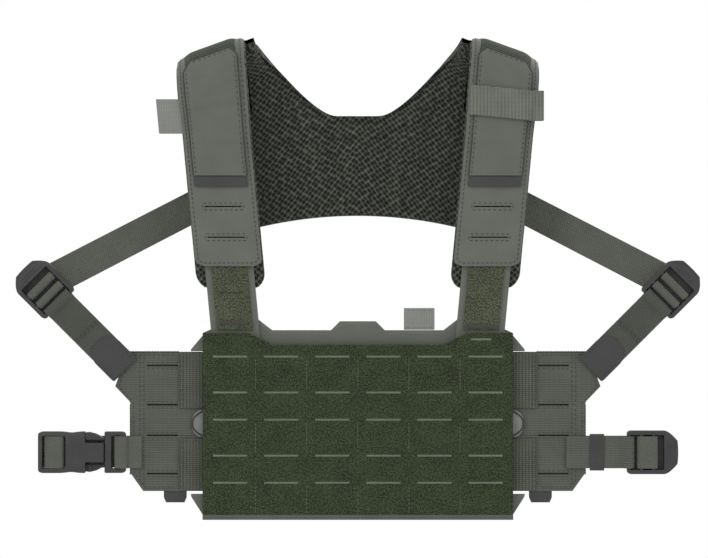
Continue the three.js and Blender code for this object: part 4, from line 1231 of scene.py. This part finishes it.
# %% Arms and diagonal straps
ARM_ANGLE = math.pi / 4
ARM_START = (181, -246)
ARM_LENGTH = 75
DIAGONAL_JOIN = 0.64
JOIN_LAP = 0.4
BAR = (ARM_START[0] + math.cos(ARM_ANGLE) * ARM_LENGTH, ARM_START[1] + math.sin(ARM_ANGLE) * ARM_LENGTH)
for side, name in ((-1, "right"), (1, "left")):
    base = hardware(BAR, side, ARM_ANGLE, 2.7)
    body, lock_body = f"{name}_wing", f"{name}_lock"
    ribbon(f"{name}_arm_webbing", bar_loop(ARM_LENGTH - 1), base, 25, 0.8, ARM_WEBBING, "webbing", body,
           [f"{name}_arm"], step=2.5, hem=0.2, relief=weave_wobble)

    def patch_outline(u, v):
        bow = np.clip((u + 55) / 12, 0, 1)
        return u, v * np.sqrt(np.clip(1 - 0.86 * bow ** 2, 0.02, 1))

    patch = cut(f"{name}_arm_patch_cloth", lines(-73, -43, 1.3), lines(-12.9, 12.9, 1.4), None,
                patch_outline, 1.2, 0.4)
    lay(patch, (lambda u, v, w, base=base: base(u, v, w + 1.1)), DARK_TRIM, "dark_trim", body,
        [f"{name}_arm_patch"])
    sew(f"{name}_arm_stitching", [[(-71, -10.5), (-55, -10.5)], [(-71, 10.5), (-55, 10.5)],
                                  [(-30, -11.5), (-30, 11.5)], [(-32, -11.5), (-32, 11.5)]],
        base, body, height=2.35, finish=DARK_THREAD)
    ladder_lock(f"{name}_ladder_lock_body", base, lock_body, [f"{name}_ladder_lock"])
    shaded_lock_bed(f"{name}_lock_shaded_webbing_bed", base, lock_body)
    for part, bar in (("lower", 1), ("upper", 2)):
        ribbon(f"{name}_lock_wrap_{part}_webbing", bar_wrap(bar, bar), base, 25, 1.3, WEBBING, "webbing",
               lock_body,
               [f"{name}_lock_wrap_{part}"], True, 1.0)

    start = np.array([109.0, 31.0, -103.5])
    end = np.array([float(c) for c in base(np.array(LOCK_LENGTH / 2), np.array(0.0), np.array(-7.1))])
    end[0] = abs(end[0])
    line = end - start
    line /= np.linalg.norm(line)
    start -= 14 * line
    run_length = float(np.linalg.norm(end - start))
    across = np.array([line[2], 0, -line[0]])
    across /= np.linalg.norm(across)
    out = np.cross(line, across)
    out *= -np.sign(out[1])

    def strap_place(u, v, w, side=side, start=start, line=line, across=across, out=out, length=run_length):
        sag = 1.4 * np.sin(u / length * np.pi)
        points = [start[k] + u * line[k] + v * across[k] + (w - 0.8) * out[k] for k in range(3)]
        return side * points[0], points[1] - sag, points[2]

    def on_strap(share, length=run_length, place=strap_place):
        return [float(c) * 0.001 for c in place(np.array(length * share), np.array(0.0), np.array(0.0))]

    joined = run_length * DIAGONAL_JOIN
    strap = webbing_run(f"{name}_diagonal_webbing", 0, joined, strap_place, [f"{name}_diagonal_strap"])
    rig.blend(strap, "harness", body, on_strap(0.16), on_strap(DIAGONAL_JOIN - 0.02))
    strap = webbing_run(f"{name}_diagonal_webbing_end", joined - JOIN_LAP, run_length, strap_place,
                        [f"{name}_diagonal_strap_end"])
    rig.blend(strap, body, lock_body, on_strap(DIAGONAL_JOIN + 0.02), on_strap(0.94))
    selvage = [[(run_length * 0.02, e), (run_length * 0.27, e)] for e in (-11.3, 11.3)]
    sew(f"{name}_diagonal_stitching", selvage, strap_place, "harness", height=1.6, finish=DARK_THREAD)
print("diagonal strap length", round(run_length, 1), "mm")

# %% [markdown]
# ## Waist: buckle, slider and lock
# The side-release buckle's socket is a hollow moulded box; it is cut as one flat shape with a
# window and swelled at the middle. Its plug and release tabs are separate pieces on their own bodies.
# The waist strap and the diagonals each cross two joints, and a blend spans only one. So each strap
# is two pieces that meet on the wing: the first bends at the wing's fold, and the second bends on to
# the lock or the socket.

# %% Waist strap
WAIST = -309.5


def at_waist(layer, side=1):
    return lambda u, v, w: (side * u, -CHEST - layer - w, WAIST + v)


WAIST_JOIN = 165
for side, name, reach, part, far_body, turn in (
        (-1, "right", 247.5, ["waist_strap"], "buckle_socket", (170, 222)),
        (1, "left", 228, [], "waist_lock", (200, 224))):
    behind = at_waist(-4.75, side)
    strap = webbing_run(f"waist_webbing_{name}", 0.2 if side > 0 else 0, WAIST_JOIN, behind, part, 0.35,
                        (119, 122, 125))
    blend_at_fold(strap, side)
    strap = webbing_run(f"waist_webbing_{name}_end", WAIST_JOIN - JOIN_LAP, reach, behind,
                        [f"waist_strap_{name}_end"], 0.35)
    near, far = ((side * x * 0.001, 0, 0) for x in turn)
    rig.blend(strap, f"{name}_wing", far_body, near, far)

# %% Buckle
def socket_opening(u, v):
    return (u < 213 and abs(v) > 7.6) or (228.5 < u < 246.5 and abs(v) < 12.7)


def socket_relief(u, v, w):
    body = 1 - 0.28 * np.clip((np.abs(v) - 9) / 7.2, 0, 1) ** 2 - 0.2 * np.clip((u - 244) / 6, 0, 1) ** 2
    groove = 0.5 * np.exp(-((u - 222) / 1.3) ** 2) * (np.abs(v) < 11)
    step = 0.35 * (u < 212.5)
    return 4.8 + (w - 4.8) * (body - step * 0.3) - np.sign(w - 4.8) * groove


def socket_outline(u, v):
    pull = np.clip((u - 246) / 4, 0, 1)
    waist = 1 - 0.05 * np.exp(-((u - 224) / 5) ** 2) * (u > 213.5)
    return u, v * (1 - 0.09 * pull ** 2) * waist


socket = cut("buckle_socket_housing", lines(198.4, 250, 1.3, (213, 228.5, 246.5)),
             lines(-16.2, 16.2, 1.3, (-12.7, 12.7, -7.6, 7.6)),
             socket_opening, socket_outline, 9.6, 1.1, 3)
lay(socket, at_waist(-2.8, -1), PLASTIC, "plastic", "buckle_socket", ["buckle_socket"], socket_relief, angle=35)
deselect()
bpy.ops.mesh.primitive_cylinder_add(vertices=20, radius=0.0024, depth=0.0285,
                                    location=(-0.237, -0.028, WAIST * 0.001))
bar = bpy.context.object
bar.name = "buckle_socket_bar"
bpy.ops.object.mode_set(mode="EDIT")
bpy.ops.transform.resize(value=(1.45, 0.84, 1))
bpy.ops.mesh.bevel(offset=0.0003, segments=2)
bpy.ops.object.mode_set(mode="OBJECT")
bpy.ops.object.transform_apply(location=True, rotation=True, scale=True)
bpy.ops.object.shade_smooth_by_angle(angle=0.6)
bar.data.materials.append(PLASTIC)
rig.slot(bar, "plastic")
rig.ride(bar, "buckle_socket")


def plug_outline(u, v):
    corner = np.clip((185.5 - u) / 4, 0, 1)
    return u, v * (1 - 0.1 * (1 - np.sqrt(1 - corner ** 2)))


plug = cut("buckle_plug_base", lines(181.5, 198.1, 1.2, (186.5, 192.5)), lines(-16.2, 16.2, 1.4, (-12.7, 12.7)),
           lambda u, v: 186.5 < u < 192.5 and abs(v) < 12.7, plug_outline, 6, 1.0, 3)
lay(plug, at_waist(-1, -1), PLASTIC, "plastic", "right_wing", ["buckle_plug"], None, angle=35)
tongue = cut("buckle_plug_tongue", lines(197.5, 224, 2.4), lines(-5, 5, 1.4), None,
             lambda u, v: (u, v * np.interp(u, [197, 219, 224], [1, 1, 0.7])), 3, 0.6)
lay(tongue, at_waist(0.5, -1), PLASTIC, "plastic", "right_wing")
for way, name in ((1, "upper"), (-1, "lower")):
    def release(u, v, way=way):
        inner = np.interp(u, [198.7, 212.4, 214.5, 221.5], [9.9, 9.9, 11.4, 11.8])
        outer = np.interp(u, [198.7, 201, 205, 210, 212.6, 215, 221.5],
                          [10.6, 12.6, 14.6, 15.8, 15.5, 14.2, 13.2])
        return u, way * (inner + v * (outer - inner))

    tab = cut(f"buckle_release_{name}", lines(198.7, 221.5, 0.9), lines(0, 1, 0.16), None, release, 5.4, 0.7, 3)
    lay(tab, at_waist(-0.7, -1), PLASTIC, "plastic", f"buckle_tab_{name}", [f"buckle_tab_{name}"],
        lambda u, v, w: w + np.where(w > 2.3, 1, -1) * 0.25 * np.sin(u * 2.2) * (u < 211))


def buckle_base(u, v, w):
    return -u, -28 - w, WAIST + v


ribbon("buckle_strap_wrap", ring(229.4, 245.4, -3.3, 3.7, 3.2), buckle_base, 25, 1.4, WEBBING, "webbing",
       "buckle_socket",
       ["buckle_strap_loop"], True, 1.0)
ring_path = ring(179.8, 190.4, -4.2, 4.4, 3.4)
ribbon("right_waist_loop", ring_path, buckle_base, 25, 1.3, WEBBING, "webbing", "right_wing",
       ["right_waist_webbing"], True, 1.0)
stub = cut("right_waist_stub", lines(169, 180.5, 2.4), lines(-12.5, 12.5, 1.6), None, None, 1.5, 0.3)
lay(stub, at_waist(1.9, -1), WEBBING, "webbing", "right_wing")
print("buckle made")

# %% Waist lock and slider
base = hardware((212, WAIST), 1, 0, 2.7)
ribbon("left_waist_loop", bar_loop(49), base, 25, 0.8, WING_WEBBING, "webbing", "left_wing",
       ["left_waist_webbing"],
       step=2.5, hem=0.2, relief=weave_wobble)
ladder_lock("waist_lock_body", base, "waist_lock", ["waist_ladder_lock"])
shaded_lock_bed("waist_lock_bed", base, "waist_lock")
ribbon("waist_lock_webbing", bar_wrap(1, 2), base, 25, 1.3, WEBBING, "webbing", "waist_lock",
       ["waist_lock_wrap"], True, 1.0)


def across_glide(u, v, w):
    return 187 + v, -CHEST - 2.7 - w, WAIST + u


ribbon("slider_frame", ring(-14.3, 14.3, -2.2, 2.2, 1.0), across_glide, 11, 1.7, PLASTIC, "plastic",
       "triglide", ["triglide"], True, 1.2)
print("waist made")

# %% Finish
for node_name, node in frame["nodes"].items():
    if node_name == "panel_stiffener":
        node.data.materials.clear()
        node.data.materials.append(BOARD)
with open("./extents.json", "w") as handle:
    json.dump({"cad": [list(c) for c in cad_box], "visual": [list(c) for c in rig.bounds()]}, handle)
